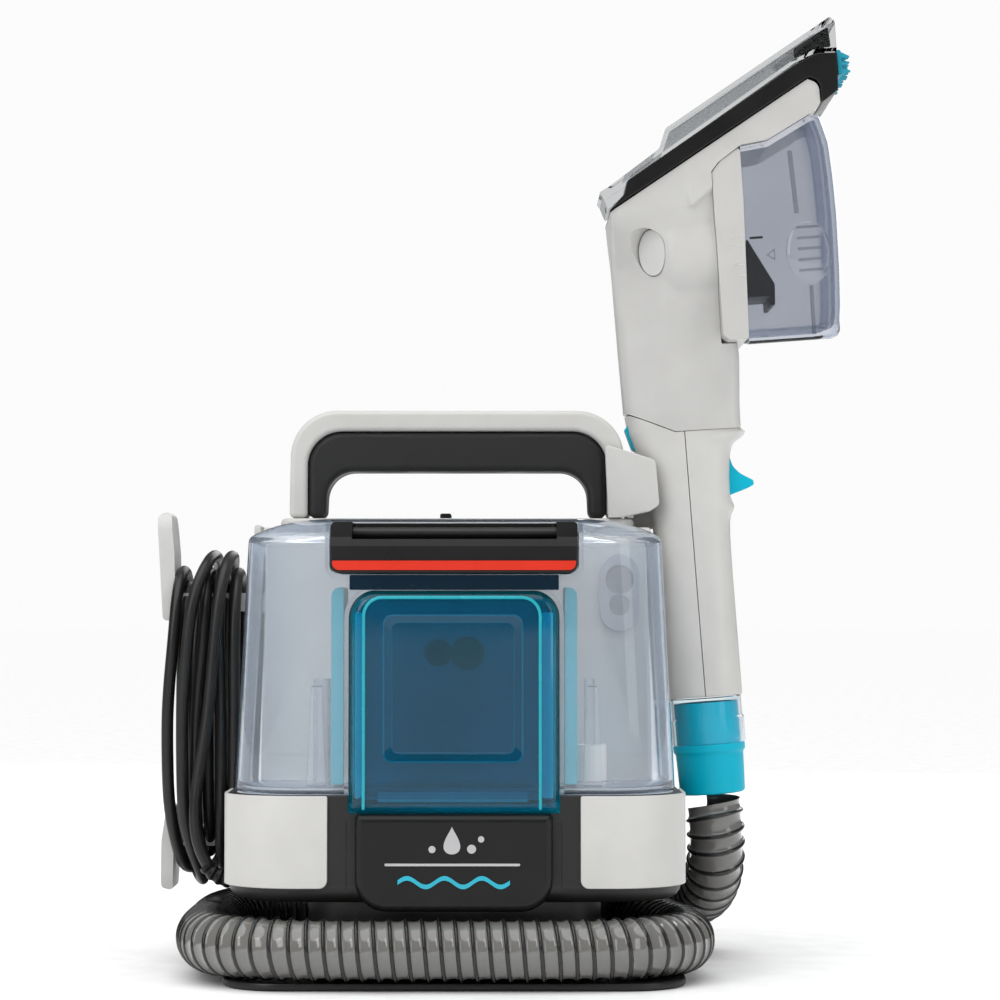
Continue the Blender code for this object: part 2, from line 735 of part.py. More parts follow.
def make_solution_tank():
    deep = new_material("solution_blue", DEEP_BLUE, 0.08, alpha=0.8)
    half = SOLUTION_HALF_WIDTH
    outline = rectangle(-half, half, SOLUTION_BOTTOM, SOLUTION_TOP, 4 * MM, 14 * MM)
    tank = plate("solution_tank", outline, SOLUTION_FRONT_Y, SOLUTION_BACK_Y)
    room = plate(
        "solution_room",
        inset(outline, TANK_WALL),
        SOLUTION_FRONT_Y + TANK_WALL,
        SOLUTION_BACK_Y - TANK_WALL,
    )
    mouth_x, mouth_z = 6.5 * MM, 178 * MM
    mouth = rod("solution_mouth", (mouth_x, -52 * MM, mouth_z), (mouth_x, -40 * MM, mouth_z), 8 * MM, 24)
    combine(tank, as_cutter(room))
    combine(tank, as_cutter(mouth))
    window = rectangle(-38 * MM, 37 * MM, 120.6 * MM, 199.6 * MM, 6 * MM, 6 * MM)
    groove = plate("solution_panel", window, SOLUTION_FRONT_Y - MM, SOLUTION_FRONT_Y + 0.6 * MM)
    combine(tank, as_cutter(groove))
    finish(tank, deep)
    cap = turned("solution_cap", [(0, 4), (9.5, 4), (9.5, 0.3), (7.6, 0.3), (7.6, -3), (0, -3)], 24)
    cap.rotation_euler = (math.radians(-90), 0, 0)
    cap.location = (6.5 * MM, SOLUTION_BACK_Y, 178 * MM)
    finish(cap, new_material("cap_black", BLACK, 0.4))


def make_latch(pin_hole):
    black = new_material("latch_black", BLACK, 0.35)
    half = LATCH_HALF_WIDTH
    outline = rectangle(-half, half, LATCH_BOTTOM, LATCH_TOP, 4 * MM, 2 * MM, 3)
    latch = plate("tank_latch", outline, LATCH_FRONT_Y, LATCH_BACK_Y)
    latch.data.transform(Matrix.Translation(-LATCH_PIVOT))
    latch.location = LATCH_PIVOT
    front_step = box("latch_front_step", (-80 * MM, 80 * MM), (-120 * MM, -97 * MM), (240 * MM, 260 * MM))
    pocket = box("latch_pocket", (-55.5 * MM, 55.5 * MM), (-97.5 * MM, -73 * MM), (231 * MM, 260 * MM))
    combine(latch, as_cutter(front_step))
    combine(latch, as_cutter(pocket))
    combine(latch, pin_hole)
    finish(latch, black)
    stripe = box(
        "latch_stripe",
        (-66 * MM, 66 * MM),
        (LATCH_FRONT_Y - GAP - 0.8 * MM, LATCH_FRONT_Y - GAP),
        (224 * MM, 228.4 * MM),
    )
    finish(stripe, new_material("stripe_red", RED, 0.4))
    bar = box("tank_grip_bar", (-55.2 * MM, 55.2 * MM), (-89 * MM, -79 * MM), (241 * MM, 247 * MM))
    finish(bar, new_material("bar_black", BLACK, 0.45), bevel=2 * MM)


# ---------------------------------------------------------------- wand


def wand_frame():
    frame = bpy.data.objects.new("wand_axis", None)
    PARTS.objects.link(frame)
    frame.location = WAND_ORIGIN
    frame.rotation_euler = (0, -WAND_LEAN, 0)
    return frame


def make_cuff(wand):
    cuff = turned(
        "hose_cuff",
        [(20.9, 30.8), (20.9, 27), (19.8, 25.5), (18.9, 2.2), (14, 2.2), (14, 30.8)],
    )
    finish(cuff, new_material("cuff_teal", TEAL, 0.35), parent=wand)
    collar = turned(
        "wand_collar",
        [(20.4, 58.2), (20.4, 54), (21.6, 53), (21.6, 48), (21, 46), (21, 31.1), (14, 31.1), (14, 58.2)],
    )
    finish(collar, new_material("collar_clear", CLEAR_GREY, 0.15, alpha=0.6), parent=wand)


GRIP_OUTLINE = [
    (-21, 58.5, 1),
    (21.5, 58.5, 1),
    (21.6, 150, 20),
    (25.6, 167, 3),
    (23.6, 176, 3),
    (25.2, 197, 8),
    (35.6, 209, 3),
    (32.4, 212, 1),
    (-6, 212, 3),
    (-33.8, 221.5, 1),
    (-31, 205, 14),
    (-22.8, 168, 20),
]


def grip_half(name, low, high, wand, material):
    """The whole rounded handle, cut back to the side of the seam between two distances."""
    grip = plate(name, fillet(GRIP_OUTLINE, 3), -GRIP_HALF_DEPTH, GRIP_HALF_DEPTH)
    finish(grip, material, bevel=9 * MM, segments=3, parent=wand)
    keep = box(f"{name}_side", (low, high), (-60 * MM, 60 * MM), (0, 300 * MM))
    combine(grip, as_cutter(keep, wand), "INTERSECT")
    return grip


def make_grip(wand):
    white = new_material("grip_white", WHITE, 0.35)
    back = grip_half("wand_shell_back", -60 * MM, SEAM_L - GAP / 2, wand, white)
    front = grip_half("wand_shell_front", SEAM_L + GAP / 2, 60 * MM, wand, white)
    button_slot = box("release_slot", (-60 * MM, -24 * MM), (-7.3 * MM, 7.3 * MM), (203.7 * MM, 218.6 * MM))
    combine(back, as_cutter(button_slot, wand))
    button_outline = fillet([(-27, 204.1, 1), (-27, 218.2, 0), (-35, 218.2, 1.5), (-31.4, 204.1, 1)], 2)
    button = plate("head_release_button", button_outline, -7 * MM, 7 * MM)
    finish(button, new_material("button_teal", TEAL, 0.35), bevel=0.8 * MM, segments=1, parent=wand)
    slot = box("trigger_slot", (6 * MM, 60 * MM), (-6.3 * MM, 6.3 * MM), (168.5 * MM, 199.5 * MM))
    combine(front, as_cutter(slot, wand))
    make_trigger(wand)


def make_trigger(wand):
    pivot = Vector((17 * MM, 0, 193.5 * MM))
    outline = fillet(
        [
            (13, 175, 2),
            (24, 174.3, 1),
            (37.4, 179, 1.5),
            (37.6, 181.6, 1.5),
            (28.9, 187, 6),
            (24.4, 193, 4),
            (22, 197.5, 2),
            (13, 197.5, 3),
        ],
        3,
    )
    trigger = plate("trigger", outline, -6 * MM, 6 * MM)
    trigger.data.transform(Matrix.Translation(-pivot))
    trigger.location = pivot
    hole = rod("trigger_pin_hole", (0, -8 * MM, 0), (0, 8 * MM, 0), 1.9 * MM, 16)
    combine(trigger, as_cutter(hole, trigger))
    finish(trigger, new_material("trigger_teal", TEAL, 0.35), parent=wand)
    pin = rod("trigger_pin", (0, -6.1 * MM, 0), (0, 6.1 * MM, 0), 1.5 * MM, 16)
    pin.location = pivot
    finish(pin, new_material("trigger_pin_steel", STEEL, 0.3, 0.9), parent=wand)


# ---------------------------------------------------------------- tool head


def make_head(wand):
    white = new_material("head_white", WHITE, 0.33)
    neck_outline = fillet(
        [
            (-34.4, 222.3, 1),
            (-6, 212.6, 3),
            (32.2, 212.6, 1),
            (34.1, 260.4, 1),
            (21, 260.8, 1),
            (21, 350, 1),
            (-35.4, 338, 1),
            (-35.6, 300, 60),
        ],
        3,
    )
    neck = plate("head_housing", neck_outline, -23 * MM, 23 * MM)
    wedge_outline = fillet(
        [
            (-35.6, 322, 2),
            (0, 330, 8),
            (22.4, 345, 1),
            (22.4, 360, 1),
            (28, 364, 1),
            (41.4, 373.1, 1),
            (57.2, 375.1, 4),
            (83.4, 389.2, 1),
            (89.1, 393.6, 2),
            (88.6, 405.8, 3),
            (83.2, 408.5, 1),
            (-35.6, 339.7, 1),
        ],
        3,
    )
    wedge = plate("head_wedge", wedge_outline, -NOZZLE_HALF_DEPTH + 2 * MM, NOZZLE_HALF_DEPTH - 2 * MM)
    combine(neck, as_cutter(wedge, wand), "UNION")
    drum = turned("head_drum", [(0, 23.4), (38, 23.4), (38, -3), (12, -22), (0, -22)], 40)
    drum.rotation_euler = (0, math.radians(90), 0)
    drum.location = (0, 0, 316 * MM)
    combine(neck, as_cutter(drum, wand), "UNION")
    cap_place = Vector((-12.6 * MM, -26 * MM, 316 * MM))
    cap_normal = Vector((-0.81, -0.586, 0))
    pocket = rod(
        "cap_pocket", cap_place - cap_normal * 3 * MM, cap_place + cap_normal * 20 * MM, 13.8 * MM, 32
    )
    combine(neck, as_cutter(pocket, wand))
    finish(neck, white, parent=wand)
    cap = rod(
        "pivot_cap", cap_place - cap_normal * 2.6 * MM, cap_place + cap_normal * 2 * MM, 13.4 * MM, 32
    )
    finish(cap, new_material("pivot_cap_white", WHITE, 0.4), bevel=MM, parent=wand)


def make_nozzle(wand):
    band_outline = fillet(
        [
            (-36, 340.3, 0),
            (83.4, 409.3, 1),
            (89.2, 406.4, 2),
            (89.8, 393.8, 1),
            (99.6, 400.4, 2),
            (100.4, 422, 1),
            (88.8, 422.3, 4),
            (75.1, 416.2, 4),
            (-24.8, 356.6, 2),
            (-27, 349, 3),
        ],
        3,
    )
    band = plate("head_band", band_outline, -NOZZLE_HALF_DEPTH, NOZZLE_HALF_DEPTH)
    finish(band, new_material("band_black", BLACK, 0.3), parent=wand)
    window_outline = fillet(
        [
            (-36.2, 343, 0),
            (-27.6, 349.6, 3),
            (-25.3, 357.1, 2),
            (75, 416.8, 4),
            (88.8, 422.8, 4),
            (100.3, 422.6, 0),
            (100.4, 440, 1),
            (97.6, 442.8, 1),
            (-0.5, 386, 2),
            (-5.1, 374.6, 2),
            (-40.8, 352.4, 1),
        ],
        1,
    )
    window = plate("nozzle_window", window_outline, -NOZZLE_HALF_DEPTH, NOZZLE_HALF_DEPTH)
    channel_outline = fillet(
        [
            (-22, 361.6, 0),
            (74, 418.9, 3),
            (88.4, 425.2, 3),
            (120, 425, 0),
            (120, 437, 0),
            (97, 439.2, 1),
            (1.6, 383.9, 2),
            (-3, 372.6, 2),
        ],
        1,
    )
    channel = plate(
        "suction_channel", channel_outline, -NOZZLE_HALF_DEPTH + 2.2 * MM, NOZZLE_HALF_DEPTH - 2.2 * MM
    )
    combine(window, as_cutter(channel, wand))
    finish(window, new_material("window_clear", (0.75, 0.76, 0.75), 0.05, alpha=0.35), parent=wand)
    spray_outline = fillet([(78, 422.6, 1), (88, 425.9, 1), (99, 425.5, 0), (98, 435.5, 1), (88, 432, 1)], 2)
    spray = plate("spray_nozzle", spray_outline, -9 * MM, 9 * MM)
    finish(spray, new_material("spray_black", BLACK, 0.4), parent=wand)
    base = fillet([(100.8, 409.6, 0), (105, 409.6, 0), (111.4, 413, 0), (111.4, 423, 0), (105, 424.4, 0),
                   (100.8, 424.4, 0)], 1)
    brush = plate("brush_strip", base, -38 * MM, 38 * MM)
    for index in range(2):
        z = (415.2 + 4.6 * index) * MM
        cut_z = (z - 0.7 * MM, z + 0.7 * MM)
        groove = box(f"brush_row_gap_{index}", (105.5 * MM, 120 * MM), (-50 * MM, 50 * MM), cut_z)
        combine(brush, as_cutter(groove, wand))
    finish(brush, new_material("brush_teal", TEAL, 0.6), smooth=False, parent=wand)


def make_cup(wand):
    collar_outline = fillet(
        [
            (23.8, 264.6, 1),
            (27.2, 262, 1),
            (38.2, 261.7, 1),
            (41, 339.4, 0),
            (41.1, 372.3, 1),
            (28.6, 363.8, 2),
            (23.8, 358.6, 2),
        ],
        2,
    )
    collar = plate("cup_collar", collar_outline, -40 * MM, 40 * MM)
    duct = rod("collar_duct", (10 * MM, 0, 316 * MM), (50 * MM, 0, 316 * MM), 26 * MM, 32)
    combine(collar, as_cutter(duct, wand))
    finish(collar, new_material("collar_white", WHITE, 0.35), parent=wand)
    cup_corners = [
        (38.8, 261.4, 1),
        (82.8, 258.1, 7),
        (90.6, 266, 8),
        (92.9, 330.3, 60),
        (91.5, 372.3, 20),
        (86.4, 388.2, 3),
        (82.6, 388, 3),
        (57, 374.4, 6),
        (41.6, 372.4, 1),
        (41.5, 339, 0),
    ]
    outline = fillet(cup_corners, 4)
    cup = plate("debris_cup", outline, -CUP_HALF_DEPTH, CUP_HALF_DEPTH)
    smoky = new_material("cup_smoky", (0.42, 0.46, 0.55), 0.06, alpha=0.45)
    finish(cup, smoky, bevel=7 * MM, segments=3, parent=wand)
    room_corners = [
        (30, 264, 0),
        (82, 260.6, 6),
        (88.2, 267, 7),
        (90.4, 330.3, 50),
        (89, 371, 18),
        (85.4, 384.6, 2),
        (83.4, 385, 2),
        (57.6, 371.7, 6),
        (30, 369.4, 0),
    ]
    room = plate("cup_room", fillet(room_corners, 4), -CUP_HALF_DEPTH + 2.4 * MM, CUP_HALF_DEPTH - 2.4 * MM)
    combine(cup, as_cutter(room, wand))
    flap_outline = fillet([(41.8, 287, 0), (56.5, 284, 1), (57.4, 293, 2), (46.8, 313, 2), (41.8, 322, 0)], 2)
    flap = plate("inlet_flap", flap_outline, -22 * MM, 22 * MM)
    finish(flap, new_material("flap_black", BLACK, 0.5), parent=wand)


# ---------------------------------------------------------------- hose and cord

HOSE_BACK_SPLIT = (60, 121, 21.3)

WRAP_ROUTE = [
    (107, 44, 24),
    (111, 20, 22.5),
    (119, -10, 21.3),
    (126, -45, 21.3),
    (122, -80, 21.3),
    (98, -107, 21.3),
    (55, -116, 21.3),
    (0, -116.5, 21.3),
    (-55, -116, 21.3),
    (-98, -110, 21.3),
    (-127, -88, 21.3),
    (-138, -50, 21.3),
    (-139, 0, 21.3),
    (-137, 50, 21.3),
    (-122, 92, 21.3),
    (-88, 116, 21.3),
    (-40, 121, 21.3),
    (10, 121, 21.3),
    HOSE_BACK_SPLIT,
]

RISER_ROUTE = [
    (60.4, 121, 21.3),
    (78, 121, 21.4),
    (106, 115, 22.6),
    (130, 98, 26.5),
    (143.5, 74, 33),
    (148.5, 50, 43),
    (150.4, 34, 58),
    (150, 28.2, 76),
    (149.05, 28, 88.3),
    (148.46, 28, 96.0),
]


def make_hose():
    grey = new_material("hose_grey", CLEAR_GREY, 0.3)
    finish_curve(tube("hose_wrap", smooth_route(WRAP_ROUTE, 20 * MM), HOSE_RADIUS, 3), grey)
    finish_curve(tube("hose_riser", smooth_route(RISER_ROUTE, 15 * MM), HOSE_RADIUS, 3), grey)
    socket = rod("hose_socket", (0, 0, 0), (0, 30 * MM, 0), 18.6 * MM, 28)
    socket.rotation_euler = (math.radians(3.5), 0, math.radians(9.4))
    socket.location = (106.93 * MM, 44.4 * MM, 24.03 * MM)
    finish(socket, new_material("socket_black", BLACK, 0.45), bevel=1.5 * MM)


GLAND_ROUTE = [
    (-125, -18, 50.8),
    (-130, -18, 50.9),
    (-134.8, -18, 52.5),
    (-139, -17.9, 55.1),
    (-142.1, -17.7, 58.4),
]

CORD_ROUTE = [
    (-142.7, -17.6, 59.2),
    (-145.2, -17.3, 62.6),
    (-147.2, -16.8, 66.8),
    (-148.4, -16, 71.6),
    (-148.8, -14.6, 78),
    (-148.8, -13.2, 86),
    (-148.7, -12.8, 96),
]


def make_cord():
    black = new_material("cord_black", BLACK, 0.35)
    gland = tube("cord_gland", smooth_route(GLAND_ROUTE, 4 * MM), GLAND_RADIUS, 3, GLAND_TIP_RADIUS)
    finish_curve(gland, new_material("gland_black", BLACK, 0.6))
    finish_curve(tube("cord_lead", smooth_route(CORD_ROUTE, 5 * MM), CORD_RADIUS, 2), black)
    outer = rectangle(
        HANK_Y - HANK_HALF_WIDTH, HANK_Y + HANK_HALF_WIDTH, HANK_BOTTOM, HANK_TOP, 38 * MM, 38 * MM, 8
    )
    hole = inset(outer, HANK_BUILD)
    hank = loft("cord_hank", [(HANK_OUTER_X, outer), (HANK_INNER_X, outer)])
    opening = as_cutter(loft("hank_opening", [(HANK_OUTER_X - MM, hole), (HANK_INNER_X + MM, hole)]))
    combine(hank, opening)
    turn = Matrix(((0, 0, 1, 0), (1, 0, 0, 0), (0, 1, 0, 0), (0, 0, 0, 1)))
    hank.data.transform(turn)
    opening.data.transform(turn)
    finish(hank, black)


def make_plug():
    plug = box("cord_plug", (-157 * MM, -131 * MM), (81.6 * MM, 103 * MM), (102 * MM, 148 * MM))
    finish(plug, new_material("plug_black", BLACK, 0.5), bevel=4 * MM)


# ---------------------------------------------------------------- build

make_base()
make_lower_housing()
make_side_panels()
make_badge_panel()
make_body()
make_handle()
make_holster()
make_cord_hooks()
make_machinery()
latch_pin_hole = make_recovery_tank()
make_tank_lid(latch_pin_hole)
make_tank_insides()
make_solution_tank()
make_latch(latch_pin_hole)
wand_axis = wand_frame()
make_cuff(wand_axis)
make_grip(wand_axis)
make_head(wand_axis)
make_nozzle(wand_axis)
make_cup(wand_axis)
make_hose()
make_cord()
make_plug()
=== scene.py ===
"""The looks of a portable carpet cleaner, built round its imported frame."""

import math
from bisect import bisect_left

import bmesh
import bpy
from mathutils import Matrix, Vector


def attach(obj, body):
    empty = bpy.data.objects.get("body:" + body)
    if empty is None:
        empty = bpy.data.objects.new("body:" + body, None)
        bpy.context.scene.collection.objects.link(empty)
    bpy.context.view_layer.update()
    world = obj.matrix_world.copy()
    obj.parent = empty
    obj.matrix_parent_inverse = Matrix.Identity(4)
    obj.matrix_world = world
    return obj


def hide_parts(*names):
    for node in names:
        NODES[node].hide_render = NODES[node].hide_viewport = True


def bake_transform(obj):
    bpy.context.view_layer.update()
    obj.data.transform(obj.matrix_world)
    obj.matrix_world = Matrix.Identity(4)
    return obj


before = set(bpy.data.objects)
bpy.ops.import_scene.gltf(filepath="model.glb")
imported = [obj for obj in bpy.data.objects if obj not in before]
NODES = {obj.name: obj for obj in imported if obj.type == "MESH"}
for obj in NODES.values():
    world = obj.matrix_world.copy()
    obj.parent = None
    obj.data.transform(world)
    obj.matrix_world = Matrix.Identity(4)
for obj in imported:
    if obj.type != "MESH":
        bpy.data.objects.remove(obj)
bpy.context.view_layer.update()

MM = 0.001


def shift(x, y, z):
    """A move, in millimetres."""
    return Matrix.Translation((x * MM, y * MM, z * MM))


def spun(degrees, axis):
    return Matrix.Rotation(math.radians(degrees), 4, axis)


# The wand's own frame: its z runs along the wand, and its origin is the mouth of the hose cuff.
WAND = shift(148.6, 28, 94.2) @ spun(-4.4, "Y")
# The head leans a little more upright than the grip, about the joint between them.
HEAD_LEAN = shift(0, 0, 212) @ spun(0.4, "Y") @ shift(0, 0, -212)


# ---------------------------------------------------------------- materials


def new_material(name):
    material = bpy.data.materials.new(name)
    material.use_nodes = True
    tree = material.node_tree
    return material, tree, tree.nodes["Principled BSDF"]


def fed(tree, node, inputs):
    """Sets a node's inputs, each to a value or to another node's output."""
    for name, given in inputs.items():
        if isinstance(given, bpy.types.NodeSocket):
            tree.links.new(given, node.inputs[name])
        else:
            node.inputs[name].default_value = given
    return node


def added(tree, kind, inputs=None):
    return fed(tree, tree.nodes.new("ShaderNode" + kind), inputs or {})


def noise(tree, coords, scale, detail):
    return added(tree, "TexNoise", {"Scale": scale, "Detail": detail, "Vector": coords}).outputs["Fac"]


def ranged(tree, value, low, high):
    """Spreads the middle of a noise over a range."""
    inputs = {"From Min": 0.3, "From Max": 0.7, "To Min": low, "To Max": high, "Value": value}
    return added(tree, "MapRange", inputs).outputs["Result"]


def mixed(tree, factor, low, high):
    """A colour between two."""
    node = tree.nodes.new("ShaderNodeMix")
    node.data_type = "RGBA"
    return fed(tree, node, {"A": low, "B": high, "Factor": factor}).outputs["Result"]


def bumps(tree, value, strength, depth):
    """Bumps of a height in metres where a noise is high."""
    return added(tree, "Bump", {"Strength": strength, "Distance": depth, "Height": value}).outputs["Normal"]


def mixed_shader(tree, factor, low, high):
    return added(tree, "MixShader", {"Fac": factor, 1: low, 2: high}).outputs[0]


GRAIN_DEPTH = 0.00006
WAVE_DEPTH = 0.001


def plastic(name, colour, roughness, grain=2500, strength=0.12, spread=0.06, coat=0.0, metallic=0.0, specular=0.5):
    """Moulded plastic: spark-eroded grain, and a colour and gloss that wander a little."""
    material, tree, shader = new_material(name)
    coords = added(tree, "TexCoord").outputs["Object"]
    broad = noise(tree, coords, 45, 2)
    dark = (*(c * 0.965 for c in colour), 1)
    light = (*(min(1, c * 1.03) for c in colour), 1)
    fed(tree, shader, {
        "Base Color": mixed(tree, ranged(tree, broad, 0, 1), dark, light),
        "Roughness": ranged(tree, broad, roughness - spread, roughness + spread),
        "Normal": bumps(tree, noise(tree, coords, grain, 2), strength, GRAIN_DEPTH),
        "Metallic": metallic, "Coat Weight": coat, "Specular IOR Level": specular,
    })
    return material


def clear(
    name, tint, roughness, edge=None, ior=1.45, waves=0.03, shade=0.4, milk=0.0, specular=0.5, painted_rim_width=0.35
):
    """Transparent plastic that lets lamps through, with slight moulding waves, some milkiness, and another colour
    painted on its rims
    where they turn from view: painted shade where that colour is darker, a painted highlight where it is brighter.
    `shade` is how much of its tint its shadow has."""
    material, tree, shader = new_material(name)
    broad = noise(tree, added(tree, "TexCoord").outputs["Object"], 18, 1)
    body = mixed(tree, ranged(tree, broad, 0, 1), (*(c * 0.96 for c in tint), 1), (*tint, 1))
    # Painted light: at glancing angles the colour turns to `edge`, painted shade on darker rims and a painted highlight
    # on the deep blue tank's bright cyan rim.
    painted_rim_mask = added(tree, "LayerWeight", {"Blend": painted_rim_width}).outputs["Facing"]
    fed(tree, shader, {
        "Base Color": mixed(tree, painted_rim_mask, body, (*(edge or tint), 1)),
        "Roughness": ranged(tree, broad, roughness * 0.6, roughness * 1.4),
        "Normal": bumps(tree, broad, waves, WAVE_DEPTH),
        "Transmission Weight": 1 - milk, "IOR": ior, "Specular IOR Level": specular,
    })
    passed = added(tree, "BsdfTransparent", {"Color": (*(c ** shade for c in tint), 1)}).outputs[0]
    in_shadow = added(tree, "LightPath").outputs["Is Shadow Ray"]
    fed(tree, tree.nodes["Material Output"], {"Surface": mixed_shader(tree, in_shadow, shader.outputs[0], passed)})
    return material


WHITE = plastic("white_abs", (0.60, 0.595, 0.575), 0.36, strength=0.1)
WHITE_SATIN = plastic("white_abs_satin", (0.60, 0.598, 0.585), 0.42, grain=1800)
WHITE_HEAD = plastic("white_abs_head", (0.54, 0.535, 0.52), 0.36, strength=0.1)
BLACK = plastic("black_abs", (0.012, 0.012, 0.0115), 0.42, grain=1700, strength=0.25, spread=0.08)
BLACK_SATIN = plastic("black_satin", (0.009, 0.009, 0.009), 0.33, grain=2200, strength=0.15, specular=0.3)
BLACK_GLOSS = plastic("black_gloss", (0.008, 0.008, 0.008), 0.2, grain=2600, strength=0.05, coat=0.3)
RUBBER = plastic("grip_rubber", (0.011, 0.011, 0.011), 0.55, grain=1200, strength=0.45, spread=0.1)
FOOT_RUBBER = plastic("foot_rubber", (0.03, 0.03, 0.03), 0.8, grain=900, strength=0.5)
CORD_BLACK = plastic("cord_pvc", (0.010, 0.010, 0.010), 0.38, grain=900, strength=0.2, spread=0.12)
TEAL = plastic("teal_abs", (0.0, 0.45, 0.62), 0.4, strength=0.1, specular=0.2)
TEAL_BRUSH = plastic("teal_bristle", (0.0, 0.30, 0.42), 0.5, grain=3000, strength=0.3)
RED = plastic("red_film", (0.68, 0.028, 0.010), 0.35, grain=2400, strength=0.1, specular=0.3)
SILVER = plastic("silver_foil", (0.62, 0.62, 0.63), 0.3, grain=3200, strength=0.08, metallic=0.85)
MARK_TEAL = plastic("mark_teal", (0.02, 0.45, 0.60), 0.4)
STEEL = plastic("machine_steel", (0.55, 0.55, 0.55), 0.35, grain=800, metallic=0.95)
MACHINE = plastic("machine_plastic", (0.05, 0.05, 0.055), 0.5)
BOARD = plastic("board_green", (0.01, 0.12, 0.04), 0.4)
GUIDE_TEAL = plastic("guide_teal", (0.012, 0.34, 0.44), 0.35)
# Painted highlights on the solution tank: these three colours are bright beads and strips that stand in for light at
# its front face's edges, its wall corners, its panel's steps and its floor.
PAINTED_EDGE_HIGHLIGHT = plastic("painted_edge_highlight", (0.008, 0.38, 0.46), 0.25, strength=0.05)
PAINTED_CORNER_HIGHLIGHT = plastic("painted_corner_highlight", (0.0, 0.62, 0.68), 0.4, strength=0.05)
PAINTED_BLUE_HIGHLIGHT = plastic("painted_blue_highlight", (0.0, 0.19, 0.27), 0.4, strength=0.05)
FLOAT_WHITE = plastic("float_foam", (0.7, 0.7, 0.68), 0.6, grain=1000, strength=0.4)
GREY_INSIDE = plastic("grey_inside", (0.42, 0.43, 0.46), 0.5)
PORT_GREY = plastic("port_grey", (0.20, 0.21, 0.235), 0.45)
# The fourth colour of each clear plastic is its painted rim: painted shade where it is darker, and a painted highlight
# on the deep blue tank.
SMOKY = clear("smoky_clear", (0.91, 0.935, 0.965), 0.04, (0.34, 0.45, 0.60), shade=0.1, milk=0.07, painted_rim_width=0.5)
DEEP_BLUE = clear(
    "deep_blue_clear", (0.0, 0.385, 0.585), 0.05, (0.0, 0.86, 0.95), shade=0.2, milk=0.04, specular=0.2, painted_rim_width=0.7
)
CUP_CLEAR = clear("cup_clear", (0.61, 0.63, 0.675), 0.04, (0.16, 0.21, 0.33), painted_rim_width=0.72)
WINDOW_CLEAR = clear("window_clear", (0.62, 0.63, 0.635), 0.02, (0.42, 0.44, 0.46), ior=1.04, waves=0.02)
SLEEVE_CLEAR = clear("sleeve_clear", (0.90, 0.96, 0.98), 0.04, (0.5, 0.6, 0.7), ior=1.3, shade=0.1)
TUBE_CLEAR = clear("tube_clear", (0.8, 0.8, 0.78), 0.2)
LINTEL_BLUE = plastic("lintel_blue", (0.0005, 0.014, 0.030), 0.25, specular=0.2)
HOSE_WALL = plastic("hose_wall", (0.165, 0.162, 0.153), 0.13, grain=500, strength=0.2, spread=0.05, coat=0.9)
HOSE_WIRE = plastic("hose_wire", (0.012, 0.012, 0.012), 0.25, grain=900, strength=0.1, coat=0.3)


# ---------------------------------------------------------------- outlines and solids


def fillet(corners, steps=8):
    """Points in metres of a closed outline whose (x, y, radius) corners, in millimetres, are rounded."""
    points = []
    count = len(corners)
    for index, (x, y, radius) in enumerate(corners):
        here = Vector((x, y))
        before = Vector(corners[index - 1][:2]) - here
        after = Vector(corners[(index + 1) % count][:2]) - here
        if radius <= 0:
            points.append(here * MM)
            continue
        half = before.angle(after) / 2
        start = here + before.normalized() * radius / math.tan(half)
        end = here + after.normalized() * radius / math.tan(half)
        centre = here + (before.normalized() + after.normalized()).normalized() * radius / math.sin(half)
        first = start - centre
        turn = first.angle_signed(end - centre)
        for step in range(steps + 1):
            points.append((centre + Matrix.Rotation(-turn * step / steps, 2) @ first) * MM)
    return points


def polygon(*corners):
    """An outline in metres with sharp corners, from points in millimetres."""
    return [Vector(corner) * MM for corner in corners]


def rectangle(left, right, low, high, radius_low, radius_high=None, steps=8):
    """A rounded rectangle in millimetres, counter-clockwise from its low left corner."""
    top = radius_low if radius_high is None else radius_high
    corners = [(left, low, radius_low), (right, low, radius_low), (right, high, top), (left, high, top)]
    return fillet(corners, steps)


def inset(points, distance):
    """A closed counter-clockwise outline moved inwards by a distance in millimetres."""
    moved = []
    count = len(points)
    for index, point in enumerate(points):
        before = (point - points[index - 1]).normalized()
        after = (points[(index + 1) % count] - point).normalized()
        normal = Vector((-before.y - after.y, before.x + after.x)).normalized()
        lean = max(0.5, normal.dot(Vector((-before.y, before.x))))
        moved.append(point + normal * distance * MM / lean)
    return moved


def linked(name, data):
    """A new object in the scene."""
    obj = bpy.data.objects.new(name, data)
    bpy.context.scene.collection.objects.link(obj)
    return obj


def mesh_object(name, builder):
    """An object whose mesh a function builds."""
    mesh = bpy.data.meshes.new(name)
    build = bmesh.new()
    builder(build)
    bmesh.ops.recalc_face_normals(build, faces=build.faces)
    build.to_mesh(mesh)
    build.free()
    return linked(name, mesh)


def stack(name, rings):
    """A solid through rings of equal point count, capped at both ends."""

    def builder(build):
        made = [[build.verts.new(point) for point in ring] for ring in rings]
        for low, high in zip(made, made[1:]):
            for index in range(len(low)):
                after = (index + 1) % len(low)
                build.faces.new((low[index], low[after], high[after], high[index]))
        build.faces.new(reversed(made[0]))
        build.faces.new(made[-1])

    return mesh_object(name, builder)


def loft(name, sections):
    """Outlines in the X-Y plane, each at a height in millimetres."""
    return stack(name, [[(p.x, p.y, z * MM) for p in outline] for z, outline in sections])


def prism(name, outline, low, high):
    return loft(name, [(low, outline), (high, outline)])


